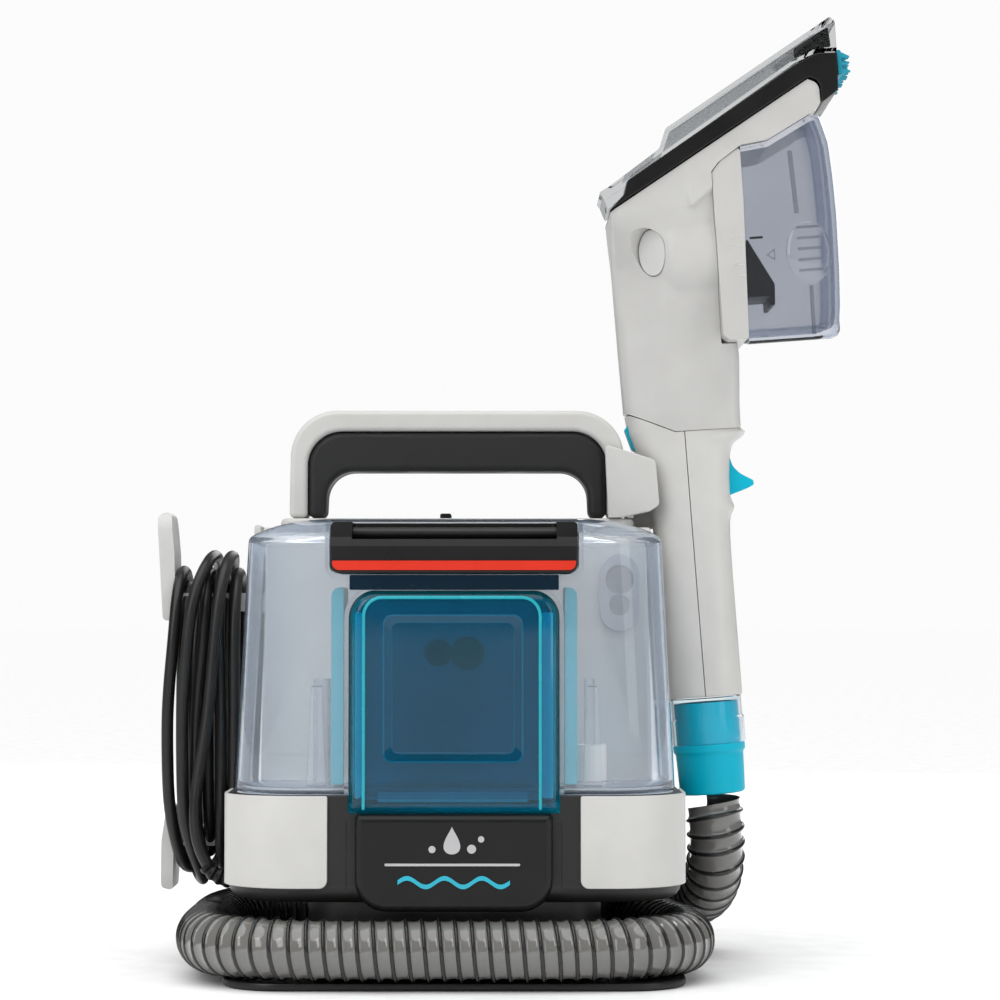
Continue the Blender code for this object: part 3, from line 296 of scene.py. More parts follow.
def turned(name, profile, steps=64):
    """A solid of revolution about Z, from a closed (radius, height) profile in millimetres."""

    def builder(build):
        points = [build.verts.new((radius * MM, 0, height * MM)) for radius, height in profile]
        edges = [build.edges.new((a, b)) for a, b in zip(points, points[1:]) if max(a.co.x, b.co.x) > 0]
        if profile[0][0] > 0 and profile[-1][0] > 0:
            edges.append(build.edges.new((points[-1], points[0])))
        bmesh.ops.spin(
            build, geom=points + edges, cent=(0, 0, 0), axis=(0, 0, 1), angle=math.tau, steps=steps, use_merge=True
        )
        bmesh.ops.remove_doubles(build, verts=build.verts, dist=1e-7)

    return mesh_object(name, builder)


def applied(obj):
    """Turns an object's modifiers into mesh."""
    graph = bpy.context.evaluated_depsgraph_get()
    mesh = bpy.data.meshes.new_from_object(obj.evaluated_get(graph))
    obj.modifiers.clear()
    old = obj.data
    obj.data = mesh
    bpy.data.meshes.remove(old)
    return obj


def bevelled(obj, width, segments=4, angle=35):
    """Rounds the edges that are sharper than an angle."""
    modifier = obj.modifiers.new("edges", "BEVEL")
    modifier.width = width * MM
    modifier.segments = segments
    modifier.limit_method = "ANGLE"
    modifier.angle_limit = math.radians(angle)
    modifier.use_clamp_overlap = True
    return applied(obj)


def combined(obj, *others, operation="DIFFERENCE"):
    """The Boolean of an object with others, which are used up."""
    for other in others:
        modifier = obj.modifiers.new("cut", "BOOLEAN")
        modifier.operation = operation
        modifier.object = other
        modifier.solver = "EXACT"
        applied(obj)
        bpy.data.objects.remove(other, do_unlink=True)
    return obj


def moved(obj, matrix):
    obj.data.transform(matrix)
    return obj


def plate(name, outline, y_low, y_high, bevel=0.0, segments=4):
    """An outline in the X-Z plane with thickness along Y, in millimetres."""
    obj = moved(prism(name, outline, -y_high, -y_low), spun(90, "X"))
    return bevelled(obj, bevel, segments) if bevel else obj


def side_plate(name, outline, x_low, x_high):
    """An outline in the Y-Z plane with thickness along X, in millimetres."""
    return moved(prism(name, outline, x_low, x_high), Matrix(((0, 0, 1, 0), (1, 0, 0, 0), (0, 1, 0, 0), (0, 0, 0, 1))))


def block(name, x, y, z, bevel=0.6, segments=3):
    """A box from three (low, high) pairs in millimetres, with rounded edges."""
    obj = prism(name, rectangle(*x, *y, 0), *z)
    return bevelled(obj, bevel, segments) if bevel else obj


def bar(name, start, end, radius, segments=32, end_radius=None, bevel=0.0):
    """A round bar between two points in millimetres."""
    start = Vector(start) * MM
    along = Vector(end) * MM - start

    def builder(build):
        bmesh.ops.create_cone(
            build,
            cap_ends=True,
            segments=segments,
            radius1=radius * MM,
            radius2=(radius if end_radius is None else end_radius) * MM,
            depth=along.length,
        )
        turn = along.to_track_quat("Z", "Y").to_matrix().to_4x4()
        bmesh.ops.transform(build, matrix=Matrix.Translation(start + along / 2) @ turn, verts=build.verts)

    obj = mesh_object(name, builder)
    return bevelled(obj, bevel, 3) if bevel else obj


def joined(name, parts):
    """Several objects' meshes as one piece."""
    mesh = bpy.data.meshes.new(name)
    build = bmesh.new()
    for part in parts:
        build.from_mesh(part.data)
    build.to_mesh(mesh)
    build.free()
    for part in parts:
        bpy.data.objects.remove(part, do_unlink=True)
    return linked(name, mesh)


def place(obj, body, slot, material, *nodes, angle=32):
    """Finishes a piece: its material, shading, body and the CAD nodes that it stands for. Its slot argument is not
    used.
    """
    obj.data.shade_smooth()
    obj.data.set_sharp_from_angle(angle=math.radians(angle))
    modifier = obj.modifiers.new("normals", "WEIGHTED_NORMAL")
    modifier.keep_sharp = True
    obj.data.materials.clear()
    obj.data.materials.append(material)
    if nodes:
        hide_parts(*nodes)
    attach(obj, body)
    return obj


def keep(node, material):
    """A CAD node whose shape stays gets a finer material."""
    NODES[node].data.materials.clear()
    NODES[node].data.materials.append(material)


# ---------------------------------------------------------------- camera, light and floor


def make_camera():
    data = bpy.data.cameras.new("camera")
    data.lens = 106.6
    data.sensor_width = 36
    data.clip_start = 0.05
    camera = linked("camera", data)
    camera.location = (0.0247, -1.7, 0.1969)
    camera.rotation_euler = (math.radians(90 + 2.32), 0, 0)
    bpy.context.scene.camera = camera


def area_light(name, place_at, target, size, power):
    data = bpy.data.lights.new(name, "AREA")
    data.shape = "RECTANGLE"
    data.size, data.size_y = size
    data.energy = power
    light = linked(name, data)
    light.location = place_at
    light.rotation_euler = (Vector(target) - Vector(place_at)).to_track_quat("-Z", "Y").to_euler()
    light.visible_camera = False
    light.visible_transmission = False


# How bright the pale room is to each kind of ray; the first one is for all others.
ROOM = ((None, 0.14), ("Is Diffuse Ray", 0.5), ("Is Camera Ray", 0.97), ("Is Transmission Ray", 0.97))
FLOOR_HALF = 60000
FLOOR_GAP = 0.4  # below the pads, so that no two faces share a plane


def make_stage():
    world = bpy.data.worlds.new("studio")
    bpy.context.scene.world = world
    world.use_nodes = True
    tree = world.node_tree
    rays = added(tree, "LightPath").outputs
    shader = None
    for ray, strength in ROOM:
        background = added(tree, "Background") if ray else tree.nodes["Background"]
        light = fed(tree, background, {"Color": (1, 1, 1, 1), "Strength": strength}).outputs[0]
        shader = mixed_shader(tree, rays[ray], shader, light) if ray else light
    fed(tree, tree.nodes["World Output"], {"Surface": shader})
    sun = bpy.data.lights.new("overhead", "SUN")
    sun.energy = 1.75
    sun.angle = math.radians(70)
    linked("overhead", sun).rotation_euler = (math.radians(12), math.radians(-8), 0)
    area_light("key", (-1.2, -1.5, 1.1), (0, 0, 0.2), (0.9, 1.3), 10)
    area_light("fill", (1.5, -1.2, 0.8), (0, 0, 0.25), (0.6, 1.4), 5)
    area_light("rear", (0.5, 1.7, 1.0), (0, 0, 0.2), (1.4, 1.0), 8)
    edge = rectangle(-FLOOR_HALF, FLOOR_HALF, -FLOOR_HALF, FLOOR_HALF, 400)
    floor = moved(prism("floor", edge, -6, 0), shift(0, 0, -FLOOR_GAP))
    floor.data.materials.append(
        plastic("floor_paper", (0.93, 0.93, 0.93), 0.9, grain=300, strength=0.02, specular=0.0)
    )
    bpy.context.scene.view_settings.view_transform = "Standard"


make_camera()
make_stage()


# ---------------------------------------------------------------- hose and cord

HOSE_ROUTE = [
    (107, 44, 24), (111, 20, 22.5), (119, -10, 21.3), (126, -45, 21.3), (122, -80, 21.3), (98, -107, 21.3),
    (55, -116, 21.3), (0, -116.5, 21.3), (-55, -116, 21.3), (-98, -110, 21.3), (-127, -88, 21.3),
    (-138, -50, 21.3), (-139, 0, 21.3), (-137, 50, 21.3), (-122, 92, 21.3), (-88, 116, 21.3), (-40, 121, 21.3),
    (10, 121, 21.3), (60, 121, 21.3), (78, 121, 21.4), (106, 115, 22.6), (130, 98, 26.5), (143.5, 74, 33),
    (148.5, 50, 43), (150.4, 34, 58), (150, 28.2, 76), (149.05, 28, 88.3), (148.46, 28, 96.0),
]
HOSE_PITCH = 8.7
CORD_RADIUS = 3.5

GLAND_ROUTE = [(-124.6, -18, 50.8), (-130, -18, 50.9), (-134.8, -18, 52.5), (-139, -17.9, 55.1), (-142.1, -17.7, 58.4)]

LEAD_ROUTE = [
    (-138.5, -17.9, 54.8), (-142.1, -17.7, 58.4), (-145.2, -17.3, 62.6), (-147.2, -16.8, 66.8),
    (-148.4, -16, 71.6), (-148.8, -14.6, 78), (-148.8, -13.2, 86), (-148.7, -12.8, 96),
]


def smooth_route(knots, spacing):
    """Evenly spaced points in metres on a Catmull-Rom curve through knots in millimetres."""
    places = [Vector(knot) * MM for knot in knots]
    padded = [2 * places[0] - places[1], *places, 2 * places[-1] - places[-2]]
    fine = []
    for first, second, third, fourth in zip(padded, padded[1:], padded[2:], padded[3:]):
        for step in range(24):
            t = step / 24
            fine.append(
                0.5 * (2 * second + (third - first) * t
                       + (2 * first - 5 * second + 4 * third - fourth) * t * t
                       + (3 * second - first - 3 * third + fourth) * t**3)
            )
    fine.append(places[-1])
    return even(fine, spacing * MM)


def distances(route):
    """How far along a route each of its points lies."""
    lengths = [0.0]
    for here, after in zip(route, route[1:]):
        lengths.append(lengths[-1] + (after - here).length)
    return lengths


def stretch_at(ways, distance):
    """Which stretch of a route holds a distance along it, and how far through that stretch it is."""
    index = min(max(bisect_left(ways, distance) - 1, 0), len(ways) - 2)
    return index, (distance - ways[index]) / (ways[index + 1] - ways[index])


def point_at(route, ways, distance):
    index, share = stretch_at(ways, distance)
    return route[index].lerp(route[index + 1], share)


def even(fine, spacing):
    """Points on a polyline, evenly spaced."""
    ways = distances(fine)
    count = max(2, round(ways[-1] / spacing))
    return [point_at(fine, ways, ways[-1] * step / count) for step in range(count + 1)]


def relaxed(route, rounds):
    """A route whose bends are eased, with its ends in place."""
    for _ in range(rounds):
        route = [route[0]] + [
            here * 0.5 + (before + after) * 0.25 for before, here, after in zip(route, route[1:], route[2:])
        ] + [route[-1]]
    return route


def route_length(route):
    return distances(route)[-1]


def heading(route, index):
    """The direction of a route at one of its points."""
    return (route[min(index + 1, len(route) - 1)] - route[max(index - 1, 0)]).normalized()


# One pitch of the hose's helix: share of the pitch, radius, and whether the face after it is wire.
HOSE_PROFILE = [
    (0.00, 16.1, True), (0.04, 16.7, True), (0.09, 17.0, True), (0.15, 17.0, True), (0.20, 16.7, True),
    (0.24, 16.1, False), (0.29, 15.6, False), (0.40, 15.3, False), (0.55, 15.15, False), (0.70, 15.15, False),
    (0.84, 15.3, False), (0.95, 15.6, False),
]


def hose_mesh(name, route, sides=44):
    """A tube whose reinforcing wire runs round it as a helix."""
    ways = distances(route)
    length = ways[-1]
    turns = int(length / (HOSE_PITCH * MM)) - 1
    pitch = length / (turns + 1)
    frames = []
    side = Vector((0, 0, 1))
    for index in range(len(route)):
        along = heading(route, index)
        side = (side - along * side.dot(along)).normalized()
        frames.append((route[index], side, along.cross(side)))

    def at(distance, angle, radius):
        """The point at a distance along the route, an angle round it and a radius in millimetres."""
        low, share = stretch_at(ways, min(max(distance, 0), length))
        (p0, a0, b0), (p1, a1, b1) = frames[low], frames[low + 1]
        first = a0.lerp(a1, share).normalized()
        second = b0.lerp(b1, share).normalized()
        return p0.lerp(p1, share) + (first * math.cos(angle) + second * math.sin(angle)) * radius * MM

    rows = [(turn + share, radius, wire) for turn in range(turns) for share, radius, wire in HOSE_PROFILE]
    per_turn = len(HOSE_PROFILE)

    def builder(build):
        grid = []
        for pitches, radius, _ in rows:
            grid.append([
                build.verts.new(at((pitches + j / sides) * pitch, math.tau * j / sides, radius)) for j in range(sides)
            ])
        for row in range(len(rows) - 1):
            wire = rows[row][2]
            for j in range(sides):
                if j + 1 < sides:
                    corners = (grid[row][j], grid[row][j + 1], grid[row + 1][j + 1], grid[row + 1][j])
                elif row + 1 + per_turn < len(rows):
                    corners = (grid[row][j], grid[row + per_turn][0], grid[row + 1 + per_turn][0], grid[row + 1][j])
                else:
                    continue
                face = build.faces.new(corners)
                face.material_index = int(wire)
                face.smooth = True

    obj = mesh_object(name, builder)
    obj.data.materials.append(HOSE_WALL)
    obj.data.materials.append(HOSE_WIRE)
    return obj


def make_hose():
    route = smooth_route(HOSE_ROUTE, 3)
    hose = hose_mesh("suction_hose", route)
    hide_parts("hose_wrap", "hose_riser")
    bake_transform(hose)
    smooth_route(HOSE_ROUTE, 15)
    profile = [
        (17.2, 0), (18.6, 0.4), (18.9, 1.4), (18.9, 4), (18.2, 4.8), (18.2, 7), (18.9, 7.8), (18.9, 10.4),
        (18.2, 11.2), (18.2, 28.6), (17.2, 30), (0, 30), (0, 6), (15.2, 6), (15.2, 0), (17.2, 0),
    ]
    socket = turned("hose_inlet_socket", profile, 56)
    moved(socket, shift(106.93, 44.4, 24.03) @ spun(9.4, "Z") @ spun(3.5, "X") @ spun(-90, "X"))
    place(socket, "base", "black_plastic", BLACK_SATIN, "hose_socket")


# Each turn of the winding: how deep it lies in the bundle, and its place across the bundle at the top, above the
# middle, at the middle, below it and at the bottom of the front run, then at the back.
WINDING = [
    (0, -132.0, -137.5, -142.0, -143.0, -144.0, -136.0),
    (2, -157.0, -158.0, -158.5, -158.0, -157.0, -158.0),
    (2, -149.6, -150.4, -151.0, -150.6, -149.8, -150.6),
    (2, -142.2, -142.8, -143.4, -143.2, -142.4, -143.0),
    (2, -134.8, -135.2, -135.6, -135.4, -135.0, -135.4),
    (1, -128.2, -128.0, -127.9, -127.9, -128.4, -128.4),
    (1, -138.0, -137.0, -135.4, -135.2, -136.2, -137.0),
    (1, -145.4, -145.0, -149.6, -150.6, -146.0, -145.0),
    (1, -160.2, -162.4, -166.2, -165.2, -158.6, -160.0),
    (0, -142.4, -153.2, -157.0, -156.0, -146.0, -143.0),
]
LAYER_STEP = 7.15
# Where the outermost layer runs: the front and back runs, the middle between them, over the top and under the bottom.
BUNDLE = {"front": -5.3, "middle": 36.0, "back": 77.3, "top": 234.3, "bottom": 44.7}
# How much lower than its layer each turn crosses the upper hook.
TOP_DROP = [0, 0, 1.0, 0.4, 0.8, 1.2, 0.4, 0.6, 0.2, 0]


def winding_knots():
    """Knots of the whole winding, front run upwards, over the hook, down the back run and under the lower hook."""
    knots = list(LEAD_ROUTE)
    for number, (layer, top, upper, middle, lower, bottom, back) in enumerate(WINDING):
        depth = layer * LAYER_STEP
        front = BUNDLE["front"] + depth
        rear = BUNDLE["back"] - depth
        high = BUNDLE["top"] - depth - TOP_DROP[number]
        low = BUNDLE["bottom"] + depth
        if number == 0:
            knots += [(middle, -8.6, 140)]
        else:
            knots += [
                ((bottom + lower) / 2, front + 5.0, low + 19), (lower, front + 0.4, low + 40),
                ((lower + middle) / 2, front, 112), (middle, front, 142),
            ]
        knots += [
            ((middle + upper) / 2, front, 170), (upper, front + 0.3, high - 38),
            ((upper * 2 + top) / 3, front + 4.6, high - 18), ((upper + top * 3) / 4, front + 14.5, high - 5.6),
            (top, min(front + 29, BUNDLE["middle"] - 2), high),
        ]
        if number == len(WINDING) - 1:
            break
        next_layer, *_, next_bottom, _ = WINDING[number + 1]
        next_depth = next_layer * LAYER_STEP
        next_low = BUNDLE["bottom"] + next_depth
        next_front = BUNDLE["front"] + next_depth
        join = (back + next_bottom) / 2
        knots += [
            (top, max(rear - 29, BUNDLE["middle"] + 2), high), ((top + back) / 2, rear - 14.5, high - 5.6),
            (back, rear - 4.6, high - 17), (back, rear - 0.3, high - 36),
            (back, rear, 165), (back, rear, 135), (back, rear, 105), (back, rear - 0.3, low + 37),
            ((back * 3 + join) / 4, rear - 4.6, low + 18), ((back + join) / 2, rear - 14.5, low + 5.6),
            (join, max(rear - 29, BUNDLE["middle"] + 2), (low * 2 + next_low) / 3),
            (next_bottom, min(next_front + 29, BUNDLE["middle"] - 2), next_low),
            (next_bottom, next_front + 14.5, next_low + 5.6),
        ]
    return knots + [
        (top, rear - 24, high), (back, rear - 6, high - 4.6), (back, rear + 8, high - 17),
        (back - 0.5, rear + 14.6, high - 37), (-144, 92.3, 170), (-144, 92.3, 147),
    ]


def make_plug():
    """A moulded two-pin plug that hangs behind the bundle, clipped to its strands."""
    base = rectangle(-156, -132, 83.2, 101.5, 6, steps=6)
    waist = rectangle(-154.5, -133.5, 84.4, 100.3, 6, steps=6)
    neck = rectangle(-148.9, -139.1, 87.4, 97.2, 4.8, steps=6)
    body = loft("mains_plug", [
        (118.4, inset(waist, 1)), (119.2, waist), (121.5, base), (131.5, base), (137, waist),
        (139.5, rectangle(-151.5, -136.5, 86, 98.6, 5, steps=6)), (142, neck), (146.6, inset(neck, 0.6)),
    ])
    ribs = [
        block("grip", (-156.6, -131.4), (84.2, 100.5), (122 + 3.2 * i, 123.4 + 3.2 * i), 0.5, 2) for i in range(3)
    ]
    body = combined(body, *ribs, operation="UNION")
    place(body, "base", "cord_black", CORD_BLACK, "cord_plug", angle=40)
    pins = [block("pin", (x - 0.8, x + 0.8), (89, 95.4), (102.6, 119), 0.5, 2) for x in (-150.2, -137.8)]
    pins = place(joined("plug_pins", pins), "base", "machine_metal", STEEL)
    strands = [bar("strand_way", (x, 77.3, 110), (x, 77.3, 140), 3.7) for x in (-150.8, -143.6, -136.4)]
    clip = combined(block("plug_clip", (-149.5, -138.5), (79.2, 84.6), (122.5, 130.5), 1.2), *strands)
    place(clip, "base", "cord_black", CORD_BLACK)
    return [body, pins, clip]


def make_cord():
    route = even(relaxed(smooth_route(winding_knots(), 4.5), 14), 0.0045)
    curve = bpy.data.curves.new("mains_cord", "CURVE")
    curve.dimensions = "3D"
    curve.bevel_depth = CORD_RADIUS * MM
    curve.bevel_resolution = 5
    curve.use_fill_caps = True
    spline = curve.splines.new("POLY")
    spline.points.add(len(route) - 1)
    for target, point in zip(spline.points, route):
        target.co = (*point, 1)
    spline.use_smooth = True
    cord = linked("mains_cord", curve)
    cord.data.materials.append(CORD_BLACK)
    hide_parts("cord_lead", "cord_hank")
    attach(cord, "base")
    make_plug()


def make_gland():
    """The cord's tapered, grooved strain relief."""
    route = smooth_route(GLAND_ROUTE, 1.1)
    side = Vector((0, 1, 0))
    rings = []
    for index, point in enumerate(route):
        up = heading(route, index).cross(side).normalized()
        share = index / (len(route) - 1)
        radius = 5.7 - 1.6 * share - (0.7 if index % 4 in (2, 3) and 2 < index < len(route) - 3 else 0)
        rings.append([
            point + (side * math.cos(math.tau * j / 32) + up * math.sin(math.tau * j / 32)) * radius * MM
            for j in range(32)
        ])
    gland = bevelled(stack("cord_strain_relief", rings), 0.25, 2, 25)
    place(gland, "base", "cord_black", BLACK_SATIN, "cord_gland", angle=50)


def pillow(name, x, z, y, radius_low, radius_high, round_front, round_back, steps):
    """A rounded rectangle in X-Z between two Y, whose front and back edges are rounded too, in millimetres."""
    quarter = [(1 - math.sin(a), 1 - math.cos(a)) for a in (math.pi / 2 * k / steps for k in range(steps + 1))]
    front = [(round_front * cut, y[0] + round_front * depth) for cut, depth in quarter]
    back = [(round_back * cut, y[1] - round_back * depth) for cut, depth in quarter[::-1]]
    rings = []
    for cut, depth in front + back:
        low, high = max(radius_low - cut, 0.2), max(radius_high - cut, 0.2)
        outline = rectangle(x[0] + cut, x[1] - cut, z[0] + cut, z[1] - cut, low, high)
        rings.append([(p.x, depth * MM, p.y) for p in outline])
    return stack(name, rings)


# ---------------------------------------------------------------- base


BEND_STEP = 0.0018


def wrapped(name, outline, path, thickness):
    """A flat outline of (way along a plan path, height) bent round that path and thickened about it."""
    ways = distances(path)

    def builder(build):
        build.faces.new([build.verts.new((p.x, 0, p.y)) for p in outline])
        for index in range(1, int(ways[-1] / BEND_STEP)):
            bmesh.ops.bisect_plane(
                build, geom=build.verts[:] + build.edges[:] + build.faces[:], plane_co=(index * BEND_STEP, 0, 0),
                plane_no=(1, 0, 0), dist=1e-7,
            )
        for vert in build.verts:
            vert.co.xy = point_at(path, ways, vert.co.x)

    obj = mesh_object(name, builder)
    modifier = obj.modifiers.new("thickness", "SOLIDIFY")
    modifier.thickness = thickness * MM
    modifier.offset = 0
    applied(obj)
    return bevelled(obj, 0.6, 3, 50)


def make_base():
    foot = rectangle(-125.5, 125.5, -119, 112, 33, steps=14)
    island = rectangle(-80, 80, -95, 100, 20, steps=14)
    base = loft("foot", [
        (0, inset(foot, 1.4)), (0.4, inset(foot, 0.5)), (1.2, foot), (2.8, foot), (3.6, inset(foot, 0.4)),
        (4, inset(foot, 1.2)), (4, inset(island, -3)), (5.5, inset(island, -0.6)), (8, island), (44.7, island),
    ])
    pads = [bar("pad_room", (x, y, -1), (x, y, 2.5), 9.3) for x in (-95, 95) for y in (-88, 84)]
    place(combined(base, *pads), "base", "black_plastic", BLACK, "base_foot")
    outline = fillet([
        (-124.5, -104, 40), (124.5, -104, 40), (124.5, -14, 9), (114, 0, 4), (114, 100, 30), (-114, 100, 30),
        (-114, 0, 4), (-124.5, -14, 9),
    ], 12)
    housing = loft("lower_body", [
        (45, inset(outline, 7)), (45.6, inset(outline, 4.8)), (47.2, inset(outline, 2.6)), (49.6, inset(outline, 1)),
        (52.5, inset(outline, 0.2)), (55, outline), (102.1, outline), (102.7, inset(outline, 0.6)),
    ])
    inner = inset(outline, 4)
    housing = combined(housing, loft("room", [(49, inset(inner, 3)), (52, inner), (104, inner)]),
                       block("seat", (-57.1, 57.1), (-140, -45.4), (93, 120), 0))
    joints = [plate("panel_joint", rectangle(*across, 30, 88, 0.2), -110, -103.4)
              for across in ((-58.1, -57.5), (57.5, 58.1))]
    place(combined(housing, *joints), "base", "black_plastic", BLACK, "lower_housing")
    keep("tank_deck", GREY_INSIDE)
    for side, sign in (("left", -1), ("right", 1)):
        for end in ("front", "back"):
            keep(f"rubber_foot_{end}_{side}", FOOT_RUBBER)
        bend = [(84.5 + 41.3 * math.sin(a), -64 - 41.3 * math.cos(a)) for a in (math.pi * k / 64 for k in range(1, 33))]
        way = polygon(*((sign * x, y) for x, y in [(68, -105.3), (84.5, -105.3), *bend, (125.8, -30)]))
        long_way = route_length(way) / MM
        skin = fillet([(0, 52.8, 4.5), (long_way, 52.8, 3), (long_way, 102.4, 1), (0, 102.4, 1.2)], 6)
        place(wrapped(f"white_panel_{side}", skin, way, 2.0), "base", "white_plastic", WHITE, f"side_panel_{side}")


MARK_DEPTH = (-112.6, -111.9)


def make_badge():
    badge = pillow("badge", (-53, 53), (40.8, 93), (-112, -104.3), 17, 3, 4.5, 0.3, 8)
    place(badge, "base", "black_plastic", BLACK_SATIN, "badge_panel")
    line = plate("badge_rule", rectangle(-37, 35.5, 65.5, 67.0, 0.7), *MARK_DEPTH, 0.2, 2)
    place(line, "base", "silver_line", SILVER, "badge_line")
    drop = [(-1, 86.6)] + [
        (-6.5 * math.sin(a / 2) ** 1.6 * math.sin(a) - 1, 79.2 + 7.4 * math.cos(a))
        for a in (math.tau * k / 32 for k in range(1, 32))
    ]
    parts = [plate("drop", polygon(*drop), *MARK_DEPTH)]
    for x, z, radius in ((9.5, 74.6, 2.4), (14.6, 79.8, 1.7), (-11.6, 74.4, 1.9)):
        parts.append(bar("bubble", (x, MARK_DEPTH[0], z), (x, MARK_DEPTH[1], z), radius, 28))
    place(joined("badge_drop", parts), "base", "silver_line", SILVER)
    middle = [(k - 30, 56.8 + 2.3 * math.sin(math.tau * k / 20)) for k in range(61)]
    outline = polygon(*((x, z - 1.2) for x, z in middle), *((x, z + 1.2) for x, z in middle[::-1]))
    wave = plate("badge_wave", outline, *MARK_DEPTH)
    place(wave, "base", "teal_plastic", MARK_TEAL)


SCREWS = [(x, z) for x in (-70, 70) for z in (114, 236)]
PORTS = [(219.9, 8.6), (205.5, 6.3)]


def make_body():
    outline = rectangle(-114, 114, -2, 100, 4, 30, steps=12)
    body = loft("rear_body", [
        (103, outline), (240, outline), (243.6, inset(outline, 0.7)), (246.8, inset(outline, 1.8)),
        (249, inset(outline, 3)), (250, inset(outline, 3.7)),
    ])
    inner = inset(outline, 3)
    body = combined(body, loft("room", [(100, inner), (238, inner), (247, inset(inner, 0.8))]))
    recess = plate("vent_recess", rectangle(-50, 50, 136, 218, 7), 98.8, 110)
    slots = [plate("slot", rectangle(-42, 42, 143 + 8.6 * i, 146.8 + 8.6 * i, 1.8), 90, 104) for i in range(8)]
    screws = [bar("screw_hole", (x, 94, z), (x, 110, z), 3.4) for x, z in SCREWS]
    seam = prism("seam", rectangle(-114.5, 114.5, -3, 100.5, 4, 30, steps=12), 120, 120.6)
    seam = combined(seam, prism("seam_inner", inset(outline, 0.5), 119, 121.6))
    body = combined(body, recess, joined("slots", slots), joined("screw_holes", screws), seam)
    place(body, "base", "white_plastic", WHITE, "rear_housing")
    heads = []
    for x, z in SCREWS:
        head = bar("screw", (x, 96.6, z), (x, 98.4, z), 3.0, 24, bevel=0.4)
        cross = [block("slot", (x - wide, x + wide), (97.6, 99), (z - tall, z + tall), 0)
                 for wide, tall in ((2, 0.35), (0.35, 2))]
        heads.append(combined(head, *cross))
    place(joined("body_screws", heads), "base", "machine_metal", STEEL)
    ports = plate("port_plate", rectangle(81.7, 105.8, 190, 235, 12), -5.2, -1.9, 0.8)
    ways = [bar("port", (93.7, -8, z), (93.7, -3.6, z), radius, 40) for z, radius in PORTS]
    place(combined(ports, *ways), "base", "white_plastic", GREY_INSIDE)
    inside = [bar("port_floor", (93.7, -3.9, z), (93.7, -3.2, z), radius - 0.4, 40, bevel=0.2)
              for z, radius in PORTS]
    place(joined("port_floors", inside), "base", "black_plastic", PORT_GREY)
    cover = loft("top_deck", [
        (z, rectangle(cut - 102, 102 - cut, 3 + cut, 88 - cut, low, low + 14))
        for z, cut, low in ((250.3, 0, 10), (253.2, 0, 10), (254.6, 0.6, 9.4), (255.3, 1.6, 8.4), (255.5, 3.2, 7))
    ])
    well = prism("well", rectangle(-10.4, -3.1, 13.6, 30.4, 1.8), 251.2, 262)
    place(combined(cover, well), "base", "white_plastic", WHITE, "top_cover")
    rocker = loft("rocker", [
        (z, rectangle(cut - 10, -3.5 - cut, 14 + cut, 30 - cut, radius))
        for z, cut, radius in ((253.4, 0, 1.4), (257.6, 0, 1.4), (258.4, 0.4, 1), (258.6, 1, 0.6))
    ])
    place(rocker, "power_button", "machine_plastic", BLACK_SATIN, "power_button")


def arch(half, top, radius, foot):
    """The corners of an arch that stands on the top cover, `foot` wide at its feet."""
    low = 255.8
    return [(-foot, low, 0), (-half, top, radius), (half, top, radius), (foot, low, 0)]


def make_handle():
    outline = fillet(arch(96, 318, 27, 97) + arch(86.5, 306, 20, 86.5)[::-1], 14)
    shell = plate("carry_handle", outline, 9, 41, 3, 5)
    place(shell, "base", "white_plastic", WHITE, "handle_shell")
    outline = fillet(arch(86.2, 305.7, 19.7, 86.2) + arch(74.7, 282.7, 16, 76)[::-1], 14)
    grip = plate("carry_grip", outline, 10, 40, 4, 6)
    place(grip, "base", "grip_rubber", RUBBER, "handle_grip")


def make_holster():
    front = fillet([
        (85, 298, 2), (87, 253.6, 2), (95, 255.7, 4), (111, 259.4, 3), (116.4, 263, 3), (114.3, 289, 4), (98.4, 294, 5),
    ], 6)
    wing = plate("wand_dock", front, 0.5, 6, 1.0, 3)
    plan = fillet([(98, 3, 0), (101.5, 3, 0), (101.5, 48.8, 3), (128, 48.8, 1), (128, 53, 2), (98, 53, 4)], 6)
    web = loft("web", [(250.6, plan), (290, plan), (291, inset(plan, 0.8))])
    notch = block("notch", (80, 102.6), (-5, 90), (240, 255.8), 0)
    wing = combined(wing, web, operation="UNION")
    place(combined(wing, notch), "base", "white_plastic", WHITE, "wand_holster")


# Each hook's profile, then its bottom, top and corner radii as seen from the side.
HOOKS = {
    "cord_hook_top": ("cord_hook_upper", [
        (-114.3, 202, 0), (-114.3, 252, 1.2), (-117.8, 252, 1.2), (-118.5, 212.5, 3), (-163.6, 212.5, 3),
        (-164.2, 236, 20), (-166.4, 260, 3.2), (-174.4, 258.6, 4), (-170.8, 197, 2.5), (-165, 196, 2.5), (-162, 202, 2),
    ], (190, 261, 8, 13)),
    "cord_hook_low": ("cord_hook_lower", [
        (-114.3, 66.5, 0), (-114.3, 77, 0), (-163.6, 77, 2), (-164.2, 88, 2), (-168, 90, 2), (-171, 70, 6),
        (-171.4, 42, 2.5), (-164.6, 40, 2.5), (-163.8, 66.5, 3),
    ], (39, 90.5, 13, 8)),
}


def make_hooks():
    for name, (node, profile, from_side) in HOOKS.items():
        side = side_plate("side", rectangle(18, 54, *from_side), -190, -100)
        hook = combined(plate(name, fillet(profile, 6), 18, 54), side, operation="INTERSECT")
        place(bevelled(hook, 1.1, 3), "base", "white_plastic", WHITE_SATIN, node)


